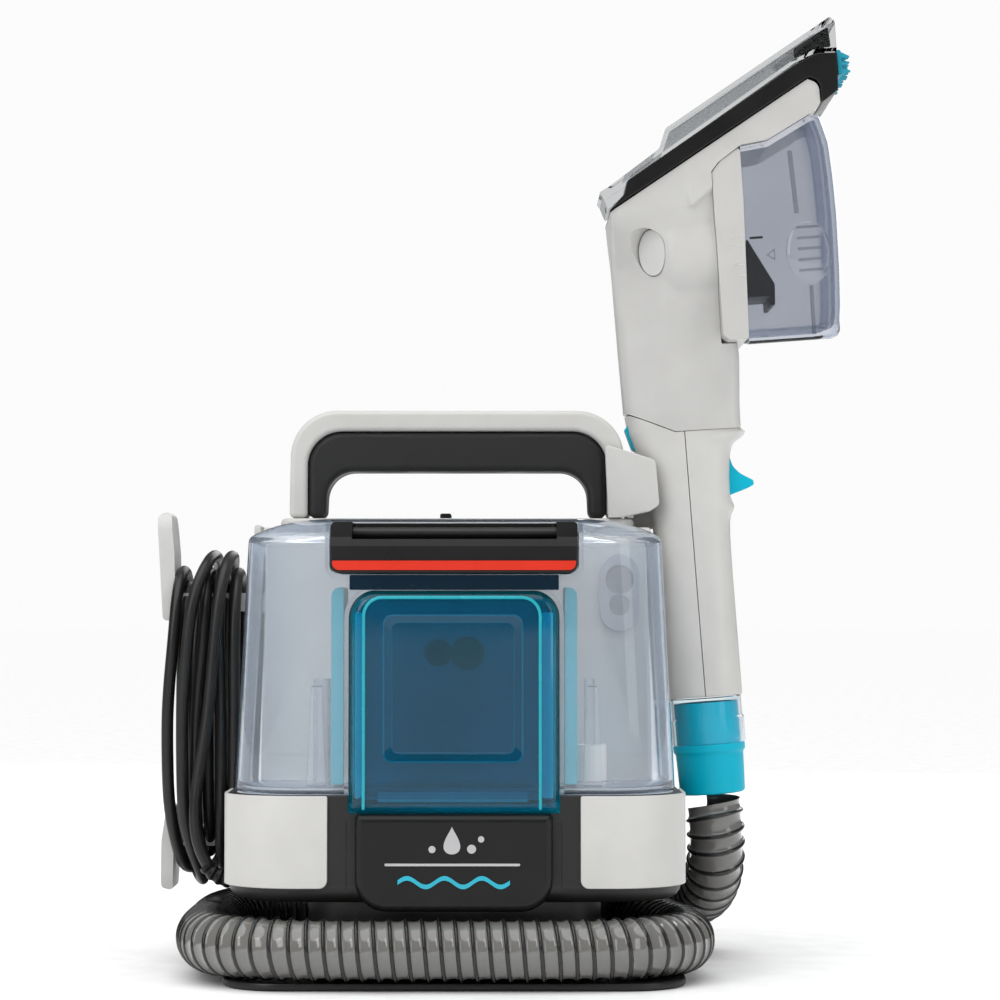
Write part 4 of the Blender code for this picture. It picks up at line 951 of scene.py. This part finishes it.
def keep_machinery():
    for node, material in {
        "suction_motor": STEEL, "impeller": STEEL, "latch_pin": STEEL, "trigger_pin": STEEL, "fan_housing": MACHINE,
        "water_pump": MACHINE, "power_switch": MACHINE, "pump_tube": TUBE_CLEAR, "control_board": BOARD,
        "tank_float": FLOAT_WHITE, "solution_cap": BLACK, "inlet_pipe": SMOKY, "float_guide": SMOKY,
    }.items():
        keep(node, material)


# ---------------------------------------------------------------- tanks


def tank_plan(z, cut=0.0):
    """The recovery tank's plan at a height: its sides lean in."""
    half = 121 - 7 * (z - 102.7) / 137.3
    return rectangle(-half + cut, half - cut, -104 + cut, -6 - cut, 38 - cut, max(8 - cut, 1.5), steps=12)


def bay(name, grow):
    """The room of the solution tank in the recovery tank's front, or its outside when it grows by the wall."""
    half = 56.8 + grow
    return plate(name, rectangle(-half, half, 80, 213 + grow, 0, 15 + grow, steps=10), -140, -40.5 + grow)


def latch_seat(name, grow):
    """The room of the latch in the recovery tank's front, as in bay."""
    half = 67.3 + grow
    return plate(name, rectangle(-half, half, 221.4 - grow, 300, 5 + grow, 0, steps=10), -140, -60 + grow)


TANK_WALL = 2.5
# The lid's sides and top: how far each ring is inside the outermost one, and its height.
TANK_DOME = [
    (0, 239), (0.3, 241), (1.3, 242.6), (4.5, 244.6), (9.5, 246.8), (15, 248.8), (21, 250.4), (28, 251.7),
    (35, 252.5), (43, 253),
]


def dome_ring(cut, thickness):
    half = 114 - cut - thickness
    corner = max(38 - 0.35 * cut - thickness, 6)
    back_corner = max(8 - cut - thickness, 1.5)
    return rectangle(
        -half, half, -104 + 0.86 * cut + thickness, -6 - 0.1 * cut - thickness, corner, back_corner, steps=12
    )


def make_recovery_tank():
    tank = loft("recovery_tank_shell", [
        (z, tank_plan(z, cut)) for z, cut in ((103, 3.2), (103.5, 1.6), (104.6, 0.5), (106.2, 0))
    ] + [(z, dome_ring(cut, 0)) for cut, z in TANK_DOME])
    room = loft("room", [
        (z, tank_plan(z, cut)) for z, cut in ((105.2, 6.5), (105.8, 4.4), (107.4, 3), (110, TANK_WALL))
    ] + [(z - (TANK_WALL if cut else 0), dome_ring(cut, TANK_WALL)) for cut, z in TANK_DOME])
    room = combined(room, bay("bay_wall", TANK_WALL), latch_seat("seat_wall", TANK_WALL))
    pin_way = bar("pin_way", (-68.6, -66, 245), (68.6, -66, 245), 2.4, 24)
    tank = combined(tank, bay("bay", 0), latch_seat("seat", 0), room, pin_way)
    place(tank, "tank", "smoky_clear", SMOKY, "recovery_tank", "tank_lid", angle=40)
    lintel = plate("bay_lintel", rectangle(-56.4, 56.4, 213.1, 221.2, 0.6), -104.8, -104.05, 0.2, 2)
    place(lintel, "tank", "deep_blue_clear", LINTEL_BLUE)
    guides, pockets = [], []
    for sign in (-1, 1):
        across = sorted((sign * 59.6, sign * 66.4))
        inner, outer = (0.6, 4.5) if sign > 0 else (4.5, 0.6)
        outline = fillet([
            (across[0], 108, 0.6), (across[1], 108, 0.6), (across[1], 214.5, outer), (across[0], 214.5, inner),
        ], 6)
        guides.append(plate("guide", outline, -99, -52, 0.5, 2))
        pockets.append(plate("pocket", fillet([
            (sign * 69.8, 106.5, 1), (sign * 80.4, 106.5, 1), (sign * 77.9, 160, 3), (sign * 75, 165, 3),
            (sign * 72, 160, 3),
        ][::sign], 6), -92, -78, 1.2, 3))
    place(joined("bay_guides", guides), "tank", "teal_plastic", GUIDE_TEAL)
    place(joined("floor_pockets", pockets), "tank", "smoky_clear", SMOKY)


def beaded(name, line, y, radius):
    """Bars along an outline in the X-Z plane, with a ball at each corner, in millimetres."""
    points = [(p.x / MM, y, p.y / MM) for p in line]
    bars = [bar(name, a, b, radius, 12) for a, b in zip(points, points[1:])]
    half = [(0, -radius), *((radius * math.cos(a), radius * math.sin(a)) for a in (-0.8, 0, 0.8)), (0, radius)]
    return bars + [moved(turned(name, half, 12), shift(*point)) for point in points]


def make_solution_tank():
    tank = pillow("solution_tank_shell", (-56.5, 56.5), (93.3, 212.7), (-110, -46), 4, 14, 7, 1.5, 8)
    room = pillow("room", (-54, 54), (98.6, 210.2), (-107.4, -48.5), 3, 11.5, 5, 2, 6)
    panel = stack("panel", [
        [(p.x, y * MM, p.y) for p in rectangle(-38 + cut, 37 - cut, 120.6 + cut, 199.6 - cut, 5, steps=6)]
        for y, cut in ((-111, 0), (-109.9, 0), (-108.7, 4.0), (-108.7, 4.2))
    ])
    mouth = bar("mouth", (6.5, -52, 178), (6.5, -40, 178), 8, 32)
    tank = combined(tank, room, panel, mouth)
    place(tank, "solution_tank", "deep_blue_clear", DEEP_BLUE, "solution_tank", angle=40)
    for x, radius, material in ((6.5, 9.2, BLACK), (-9.6, 7.6, LINTEL_BLUE)):
        seat = turned("valve_seat", [(0, 1.4), (radius - 0.4, 1.4), (radius, 1), (radius, 0), (0, 0)], 40)
        moved(seat, shift(x, -50.2, 178.5) @ spun(-90, "X"))
        place(seat, "solution_tank", "black_plastic", material)
    # Painted highlights: bright cyan beads along the front face's rounded edges stand in for light caught there.
    edge = fillet([(46.3, 96, 0), (46.3, 209, 10), (-48.5, 209, 10), (-48.5, 96, 0)], 10)
    place(joined("painted_edge_highlights", beaded("painted_edge_bead", edge, -109.9, 0.9)), "solution_tank", "deep_blue_clear", PAINTED_EDGE_HIGHLIGHT)
    # Painted highlights: blue beads along the panel's steps, and a blue band across the floor behind the front wall,
    # stand in for light caught there.
    steps = []
    for outline, radius in (
        (rectangle(-38, 37, 120.6, 199.6, 5, steps=6), 0.45), (rectangle(-33.4, 32.4, 125.6, 195.2, 3, steps=6), 0.35)
    ):
        steps += beaded("painted_step_bead", outline + outline[:1], -107.0, radius)
    # Painted highlights: cyan strips behind the front wall at its corners stand in for light coming through the side
    # walls.
    sides = [plate("painted_corner_strip", rectangle(*across, 100.5, 201, 1.2), -103.4, -102.6, 0.2, 2)
             for across in ((-53.4, -49.6), (47.4, 53.4))]
    painted_floor_highlight = plate("painted_floor_highlight", rectangle(-41, 40, 99.4, 104.6, 1), -106.6, -105.8, 0.25, 2)
    place(joined("painted_corner_strips", sides), "solution_tank", "deep_blue_clear", PAINTED_CORNER_HIGHLIGHT)
    place(joined("painted_step_and_floor_highlights", steps + [painted_floor_highlight]), "solution_tank", "deep_blue_clear", PAINTED_BLUE_HIGHLIGHT)


def make_latch():
    latch = pillow("latch_body", (-66.7, 66.7), (222, 250), (-107.5, -62), 5, 2, 1.2, 1.2, 4)
    slope = polygon((-120, 236.6), (-107.5, 236.6), (-99.5, 241.8), (-96.5, 251), (-96.5, 270), (-120, 270))
    slope = side_plate("slope", slope, -80, 80)
    pocket = prism("pocket", rectangle(-55.5, 55.5, -96, -73, 3), 231, 260)
    front_way = block("front_way", (-55.5, 55.5), (-120, -94), (240.6, 260), 0)
    latch = combined(latch, slope, pocket, front_way, bar("pin_way", (-70, -66, 245), (70, -66, 245), 2.4, 24))
    place(bevelled(latch, 0.7, 3, 40), "latch", "black_plastic", BLACK_SATIN, "tank_latch")
    stripe = plate("red_stripe", rectangle(-65.6, 65.6, 223.7, 228.8, 3.8, 0.3), -108.5, -107.3, 0.25, 2)
    place(stripe, "latch", "red_stripe", RED, "latch_stripe")
    grip = bar("carry_bar", (-55.4, -84, 244.2), (55.4, -84, 244.2), 4.6, 40)
    moved(grip, shift(0, 0, 244.2) @ Matrix.Diagonal((1, 1, 0.72, 1)) @ shift(0, 0, -244.2))
    place(grip, "latch", "black_plastic", BLACK, "tank_grip_bar")


# ---------------------------------------------------------------- wand


def between(points, at):
    """Linear value at a place on (place, value) points."""
    for (a, low), (b, high) in zip(points, points[1:]):
        if at <= b:
            return low + (high - low) * max(0.0, (at - a) / (b - a))
    return points[-1][1]


def oval_stack(name, stations, left, right, depth, power, sides=56):
    """A body along the wand, from its outline on both sides and its half depth, with squarish oval sections."""
    rings = []
    for u in stations:
        low, high, half = between(left, u), between(right, u), between(depth, u)
        middle, reach, square = (low + high) / 2, (high - low) / 2, 2 / between(power, u)
        waves = [(math.cos(a), math.sin(a)) for a in (math.tau * j / sides for j in range(sides))]
        rings.append([
            Vector((middle + reach * math.copysign(abs(c) ** square, c), half * math.copysign(abs(d) ** square, d), u))
            * MM for c, d in waves
        ])
    return stack(name, rings)


def wand_piece(obj, body, slot, material, *nodes, angle=32):
    moved(obj, WAND)
    return place(obj, body, slot, material, *nodes, angle=angle)


def head_piece(obj, body, slot, material, *nodes, angle=32):
    moved(obj, HEAD_LEAN)
    return wand_piece(obj, body, slot, material, *nodes, angle=angle)


# The grip's outline on both sides, as (way along the wand, place across it).
GRIP_LEFT = [(58.4, -21), (120, -21.9), (160, -22.6), (180, -24.4), (195, -27.4), (205, -30.3), (213, -32.6),
             (224, -33.9)]
GRIP_RIGHT = [
    (58.4, 21.7), (129, 21.6), (150, 21.9), (158, 22.4), (162, 23.2), (165, 25.0), (167.7, 25.7), (171, 24.8),
    (174, 23.7), (186, 24.2), (195.8, 25.1), (200, 26), (203.9, 27.6), (206, 30.6), (208, 34), (210.5, 35.4),
    (212, 34), (224, 34),
]


def steps_between(start, end, step):
    count = max(1, round((end - start) / step))
    return [start + (end - start) * i / count for i in range(count + 1)]


def make_grip():
    stations = [58.5, 58.8, 59.5] + steps_between(61, 156, 5) + steps_between(158, 224, 1.5)
    depth = [(58.4, 19.4), (59.5, 20), (150, 20), (200, 20.6), (224, 21.8)]
    power = [(58, 2.3), (90, 2.6), (170, 2.8), (224, 3.4)]
    whole = oval_stack("grip", stations, GRIP_LEFT, GRIP_RIGHT, depth, power)
    above = polygon((-6.4, 212.3), (60, 211.9), (60, 300), (-60, 300), (-60, 237.3))
    slot = prism("trigger_slot", rectangle(8, 60, -6.4, 6.4, 1), 169.2, 199.2)
    button_slot = block("button_slot", (-60, -19), (-7.4, 7.4), (203.6, 218.8), 0.5)
    whole = combined(whole, plate("above", above, -60, 60), slot, button_slot)
    front = linked("grip_front", whole.data.copy())
    back = combined(whole, block("half", (-1.2, 80), (-80, 80), (0, 300), 0))
    front = combined(front, block("half", (-80, -0.75), (-80, 80), (0, 300), 0))
    back.name, front.name = "grip_back_half", "grip_front_half"
    for half, node in ((back, "wand_shell_back"), (front, "wand_shell_front")):
        wand_piece(bevelled(half, 0.45, 2, 50), "wand", "white_plastic", WHITE, node, angle=40)
    core = oval_stack("grip_core", steps_between(70, 205, 15), [(0, -16), (300, -16)], [(0, 15), (300, 15)],
                      [(0, 14), (300, 14)], [(0, 2.4), (300, 2.4)])
    core = combined(core, prism("slot", rectangle(6, 60, -6.6, 6.6, 1), 168.6, 200))
    wand_piece(core, "wand", "machine_plastic", BLACK)
    button = fillet([(-27, 204.1, 1), (-31.2, 204.1, 1.5), (-35.2, 218.2, 1.8), (-27, 218.2, 0)], 6)
    button = plate("release_key", button, -7, 7, 1.0, 3)
    wand_piece(button, "release_button", "teal_plastic", TEAL, "head_release_button")
    trigger = plate("spray_trigger", fillet([
        (13, 175, 2), (24, 174.3, 1), (34.6, 177.6, 14), (37.9, 179.2, 1.2), (37.6, 181.8, 1.6), (30.4, 186.2, 12),
        (26.4, 190.6, 8), (24.6, 197.5, 2), (13, 197.5, 3),
    ], 8), -6, 6)
    trigger = combined(trigger, bar("pin_way", (17, -9, 193.5), (17, 9, 193.5), 1.9, 24))
    wand_piece(bevelled(trigger, 0.7, 3, 60), "trigger", "teal_plastic", TEAL, "trigger")
    cuff = turned("hose_end_cuff", [
        (20.3, 31.0), (20.9, 30.5), (20.9, 27.6), (20.5, 26.6), (19.9, 25.9), (19.6, 24.8), (19.0, 4.0), (18.5, 2.8),
        (17.4, 2.2), (15.2, 2.2), (15.2, 31.0),
    ], 72)
    wand_piece(cuff, "hose_cuff", "teal_plastic", TEAL, "hose_cuff")
    sleeve = turned("collar_sleeve", [
        (20.2, 58.1), (20.9, 57.6), (20.9, 46.6), (21.6, 45.6), (21.6, 32.2), (21.1, 31.3), (19.7, 31.3), (19.7, 45.2),
        (19.2, 46.2), (19.2, 58.1),
    ], 72)
    wand_piece(sleeve, "wand", "clear_plastic", SLEEVE_CLEAR, "wand_collar")
    tube = turned("collar_tube", [(18.4, 55.2), (18.6, 54.8), (18.6, 31.3), (15.6, 31.3), (15.6, 55.2)], 72)
    wand_piece(tube, "wand", "teal_plastic", TEAL)


# ---------------------------------------------------------------- tool head

# The head's section at each height along the wand: its back edge, the place where it is widest and its front edge,
# then half its depth at the back edge and at its widest, then its three corner radii.
HEAD_SECTIONS = [
    (206, -34.2, -18, 32, 15.5, 21.5, 7, 8, 7), (226, -34.4, -16, 32.4, 15.5, 22, 7, 8, 7),
    (255, -35, -12, 34.2, 15, 23, 7, 8, 6), (262, -35.1, -11, 33.6, 15, 23.5, 7, 8, 6),
    (270, -35.2, -10, 30, 14, 24.5, 7, 8, 6), (290, -35.6, -7, 27.5, 12, 29, 6, 8, 4),
    (316, -35.8, -4, 27.5, 10.5, 35, 6, 8, 3), (335, -35.8, -6, 27.5, 13, 35.5, 6, 8, 3),
    (350, -35.6, -10, 27.5, 20, 37, 6, 8, 3),
    (365, -35.4, -16, 27.5, 26, 39, 5, 6, 3), (440, -35.4, -24, 27.5, 36, 41, 3, 4, 3),
]
# The lower edge of the band under the window. Towards it the head widens to the band's half depth.
BAND_LEFT = Vector((-36, 340.3))
BAND_ALONG = Vector((119.4, 69)).normalized()
BAND_HALF = 41


def head_ring(u):
    back, wide, front, thin, deep, r0, r1, r2 = (
        between([(row[0], row[i]) for row in HEAD_SECTIONS], u) for i in range(1, 9)
    )
    ring = []
    for p in fillet([
        (back, -thin, r0), (wide, -deep, r1), (front, -deep, r2), (front, deep, r2), (wide, deep, r1), (back, thin, r0),
    ], 6):
        along = Vector((p.x / MM, u)) - BAND_LEFT
        below = along.x * BAND_ALONG.y - along.y * BAND_ALONG.x
        near = min(1.0, max(0.0, 1 - below / 34))
        near = near * near * (3 - 2 * near)
        reach = thin + (deep - thin) * min(1.0, max(0.0, (p.x / MM - back) / (wide - back)))
        ring.append((p.x, p.y * (1 + near * (BAND_HALF / reach - 1)), u * MM))
    return ring


def oval_disc(name, centre, normal, radius, squash, low, high):
    """A disc between two depths along its normal, narrower across the wand than along it."""
    disc = turned(name, [(0, high), (radius, high), (radius, low), (0, low)], 56)
    normal = Vector(normal).normalized()
    up = Vector((0, 0, 1))
    across = up.cross(normal)
    basis = Matrix((across * squash, up, normal)).transposed().to_4x4()
    return moved(disc, shift(*centre) @ basis)


def make_head():
    neck = stack("tool_head", [head_ring(u) for u in steps_between(206, 420, 4)])
    wedge = plate("wedge", fillet([
        (10, 338, 1), (27.2, 352, 4), (27.2, 360, 1), (95, 360, 1), (95, 416, 1), (10, 416, 1),
    ], 5), -41.1, 41.1, 2.5, 4)
    drum = turned("drum", [(0, 30), (38, 30), (38, -1), (36, -5), (12, -32), (0, -32)], 64)
    moved(drum, shift(0, 0, 316) @ spun(90, "Y"))
    head = combined(neck, wedge, drum, operation="UNION")
    remesh = head.modifiers.new("remesh", "REMESH")
    remesh.mode = "VOXEL"
    remesh.voxel_size = 1.5 * MM
    applied(head)
    smooth = head.modifiers.new("soften", "SMOOTH")
    smooth.factor = 0.5
    smooth.iterations = 8
    applied(head)
    below = polygon((-60, 180), (60, 180), (60, 212.2), (-6.3, 212.6), (-60, 237.6))
    top = polygon((-70, 319.6), (120, 429.7), (120, 480), (-70, 480))
    cup_room = fillet([
        (23.7, 261.1, 1), (130, 261.1, 0), (130, 414, 0), (90, 394.2, 0), (83.6, 388.9, 1), (57.2, 374.9, 5),
        (41.5, 372.9, 1), (28.4, 364.2, 1), (23.7, 358.9, 2),
    ], 4)
    cuts = [plate(name, outline, -90, 90) for name, outline in (("below", below), ("top", top), ("cup_way", cup_room))]
    kept_corner = fillet([
        (60, 350, 0), (83.6, 388.9, 1), (89, 393.4, 3), (88.7, 405.2, 6), (81, 408.6, 3), (60, 396, 0),
    ], 8)
    beyond = combined(block("beyond", (70, 140), (-59, 59), (360, 440), 0), plate("kept_corner", kept_corner, -60, 60))
    head = combined(head, *cuts, beyond)
    cap_at, cap_normal = (-12.6, -28.2, 316), (-0.62, -0.784, 0)
    head = combined(head, oval_disc("cap_room", cap_at, cap_normal, 13.9, 0.72, -2.4, 12))
    head_piece(head, "head", "white_plastic", WHITE_HEAD, "head_housing", angle=38)
    cap = bevelled(oval_disc("side_cap", cap_at, cap_normal, 13.4, 0.7, -2.2, 0.7), 0.7, 4)
    head_piece(cap, "head", "white_plastic", WHITE_SATIN, "pivot_cap")
    collar = plate("cup_ring", fillet([
        (23.9, 264.6, 2), (27.2, 261.6, 2), (38.4, 261.7, 1), (41, 339.4, 40), (41.1, 372.3, 1.5), (29.2, 364.6, 4),
        (23.9, 358.6, 4),
    ], 6), -40, 40)
    collar = bevelled(combined(collar, bar("duct", (10, 0, 316), (50, 0, 316), 26, 48)), 1.2, 4, 50)
    head_piece(collar, "head", "white_plastic", WHITE_HEAD, "cup_collar")


def make_nozzle():
    band = plate("nozzle_band", fillet([
        (-36, 340.3, 0), (83.2, 409.2, 3), (89.4, 406.2, 6), (89.8, 393.8, 1), (99.6, 400.4, 3), (100.4, 422, 1),
        (88.8, 422.3, 5), (75.1, 416.2, 5), (-24.8, 356.6, 3), (-27, 349, 4),
    ], 8), -43, 43, 0.7, 3)
    head_piece(band, "head", "black_plastic", BLACK_SATIN, "head_band")
    window = plate("nozzle_cover", fillet([
        (-36.2, 343, 0.5), (-27.6, 349.6, 3), (-25.3, 357.1, 3), (75, 416.8, 5), (88.8, 422.8, 5), (100.3, 422.6, 0.4),
        (100.4, 440, 1.5), (97.6, 442.8, 1.5), (-0.5, 386, 4), (-5.1, 374.6, 4), (-34, 356.6, 2), (-40.8, 353.2, 0.8),
        (-38.8, 350.8, 0.5),
    ], 8), -43, 43, 0.8, 3)
    channel = plate("channel", fillet([
        (-22, 361.6, 0), (74, 418.9, 4), (88.4, 425.2, 4), (120, 425, 0), (120, 437, 0), (97, 439.2, 1),
        (1.6, 383.9, 2.5), (-3, 372.6, 2.5),
    ], 8), -40.8, 40.8)
    window = combined(window, channel)
    # The window narrows towards its lower end.
    for vert in window.data.vertices:
        vert.co.y *= 1 - 0.42 * min(1.0, max(0.0, (0.02 - vert.co.x) / 0.061))
    head_piece(window, "head", "clear_plastic", WINDOW_CLEAR, "nozzle_window", angle=35)
    cheek = fillet([
        (75.6, 420.4, 1), (88.6, 426, 3), (97.4, 425.8, 1), (96.6, 437.6, 1), (90, 434.2, 4), (76, 426.2, 1),
    ], 4)
    cheeks = [plate("cheek", cheek, *y, 0.3, 2) for y in ((-40.4, -38.6), (38.6, 40.4))]
    nozzle = fillet([(78, 422.6, 1), (88, 426, 2), (98, 425.7, 1), (97, 435.3, 1), (88, 431.6, 2)], 4)
    cheeks.append(plate("spray_body", nozzle, -9, 9, 0.8, 3))
    head_piece(joined("spray_block", cheeks), "head", "machine_plastic", BLACK_GLOSS, "spray_nozzle")
    strip = fillet([(100.8, 409.8, 0.5), (103.2, 409.8, 1), (103.2, 424.2, 1), (100.8, 424.2, 0.5)], 3)
    tufts = [plate("brush_base", strip, -38, 38, 0.4, 2)]
    for row, u in enumerate((412.4, 417, 421.6)):
        for index in range(15):
            y = -35 + 5 * index + (1.2 if row == 1 else 0)
            tip = (108.2, y + 0.5 * math.sin(index * 2.1 + row), u - 0.6 + 0.9 * math.sin(index * 1.3 + 2 * row))
            tufts.append(bar("tuft", (102.6, y, u), tip, 2.1, 8, 0.55))
    head_piece(joined("bristles", tufts), "head", "teal_plastic", TEAL_BRUSH, "brush_strip", angle=50)


CUP_RISE = 8  # how much higher the cup's floor is at its far side


def cup_body(name, cut, low_cut):
    """The cup's outer or inner form: flat against its ring, rounded on the far side."""
    right = [
        (250, 86), (265.6, 92), (274.6, 93.4), (296.7, 94.6), (330.3, 95.3), (352, 94.8), (372.3, 93.6),
        (384.7, 90.3), (395, 87),
    ]
    rings = []
    floor = 258.4 + low_cut
    for u, shrink in [(floor, 5), (floor + 0.5, 3.2), (floor + 1.8, 1.4), (floor + 4, 0.3), (floor + 6.5, 0)] + [
        (floor + 6.5 + step, 0) for step in range(6, 132, 6)
    ]:
        far = between(right, max(u, 268)) - cut - shrink
        half = 36 - cut - shrink
        outline = fillet([(30, -half, 1), (far, -half, 11), (far, half, 11), (30, half, 1)], 10)
        rise = CUP_RISE * max(0.0, 1 - (u - floor) / 60)
        rings.append([(p.x, p.y, (u + rise * (0.5 + p.y / MM / 72)) * MM) for p in outline])
    return stack(name, rings)


def make_cup():
    cup = cup_body("debris_cup_shell", 0, 0)
    half = [(math.sin(a), math.cos(a)) for a in (math.pi * k / 20 for k in range(1, 20))]
    bump = turned("bump", [(0, 1), *half, (0, -1)], 40)
    moved(bump, shift(76.5, -35.2, 309) @ Matrix.Diagonal((13.5, 3.3, 19, 1)))
    cup = combined(cup, bump, operation="UNION")
    near = polygon((0, 200), (38.8, 200), (38.8, 261.4), (41.5, 339), (41.6, 420), (0, 420))
    above = fillet([
        (20, 372.4, 0), (41.6, 372.6, 0), (57, 374.6, 6), (83, 388.3, 2), (140, 392, 0), (140, 440, 0), (20, 440, 0),
    ], 6)
    cup = combined(cup, plate("near", near, -60, 60), plate("above", above, -60, 60))
    ceiling = fillet([
        (0, 369.6, 0), (41.6, 369.8, 0), (57.6, 371.7, 6), (83.6, 385.2, 2), (140, 389, 0), (140, 440, 0),
        (0, 440, 0),
    ], 6)
    cup = combined(cup, combined(cup_body("room", 2.4, 2.6), plate("ceiling", ceiling, -60, 60)))
    head_piece(cup, "cup", "cup_clear", CUP_CLEAR, "debris_cup", angle=40)
    ribs = [bar("rib", (71.2, -36.1, 332), (69.8, -36.1, 368), 1.3, 16)]
    ribs.append(bar("rib", (76.2, -36.0, 262), (76.6, -36.0, 290), 1.1, 16))
    ribs += [
        bar("finger_rib", (70.2, -38.1, u), (83.4, -38.1, u), 0.75, 12) for u in (323.6, 317.4, 311.2, 305, 298.8)
    ]
    head_piece(joined("cup_ribs", ribs), "cup", "cup_clear", WINDOW_CLEAR, angle=60)
    flap = plate("debris_flap", fillet([
        (41.9, 287, 0.5), (47.3, 286.9, 0.6), (53.6, 286.9, 0.5), (53.6, 281.4, 0.6), (56.4, 281.4, 0.8),
        (57.1, 293.7, 2),
        (46.9, 313, 2), (42.4, 322, 0.5),
    ], 4), -22, 22, 0.5, 2)
    head_piece(flap, "head", "black_plastic", BLACK, "inlet_flap")
    tick = plate("level_mark", rectangle(43.2, 50.8, 318.9, 320.2, 0.4), -36.25, -36.0)
    head_piece(tick, "cup", "black_plastic", BLACK)


def emboss(name, lines, radius, body, slot, material):
    """Raised outlines along polylines in the wand's frame."""
    parts = []
    for line in lines:
        for a, b in zip(line, line[1:]):
            parts.append(bar("line", a, b, radius, 10))
            parts.append(bar("line_end", (b[0], b[1] - radius, b[2]), (b[0], b[1] + radius * 0.9, b[2]), radius, 10))
    head_piece(joined(name, parts), body, slot, material, angle=50)


def make_symbols():
    lines = []
    for u, turn in ((318, 0), (301, 1.6)):
        box_line = [(x, -40, u + rise) for x, rise in ((35.4, -3.2), (39, -3.2), (39, 3.2), (35.4, 3.2), (35.4, -3.2))]
        shackle = [(35.4 if k in (0, 8) else 33.2 - 1.4 * math.sin(math.pi * k / 8), -40,
                    u + turn * 1.4 + 2.1 * math.cos(math.pi * k / 8)) for k in range(9)]
        lines += [box_line, shackle[:-1] if turn else shackle]
    emboss("lock_symbols", lines, 0.32, "head", "white_plastic", WHITE_SATIN)
    triangle = [(52.6, -36.1, 309.2), (56.8, -36.1, 312), (56.8, -36.1, 306.4), (52.6, -36.1, 309.2)]
    emboss("cup_arrow", [triangle], 0.3, "cup", "cup_clear", WINDOW_CLEAR)


make_hose()
make_cord()
make_gland()
make_base()
make_badge()
make_body()
make_handle()
make_holster()
make_hooks()
keep_machinery()
make_recovery_tank()
make_solution_tank()
make_latch()
make_grip()
make_head()
make_nozzle()
make_cup()
make_symbols()
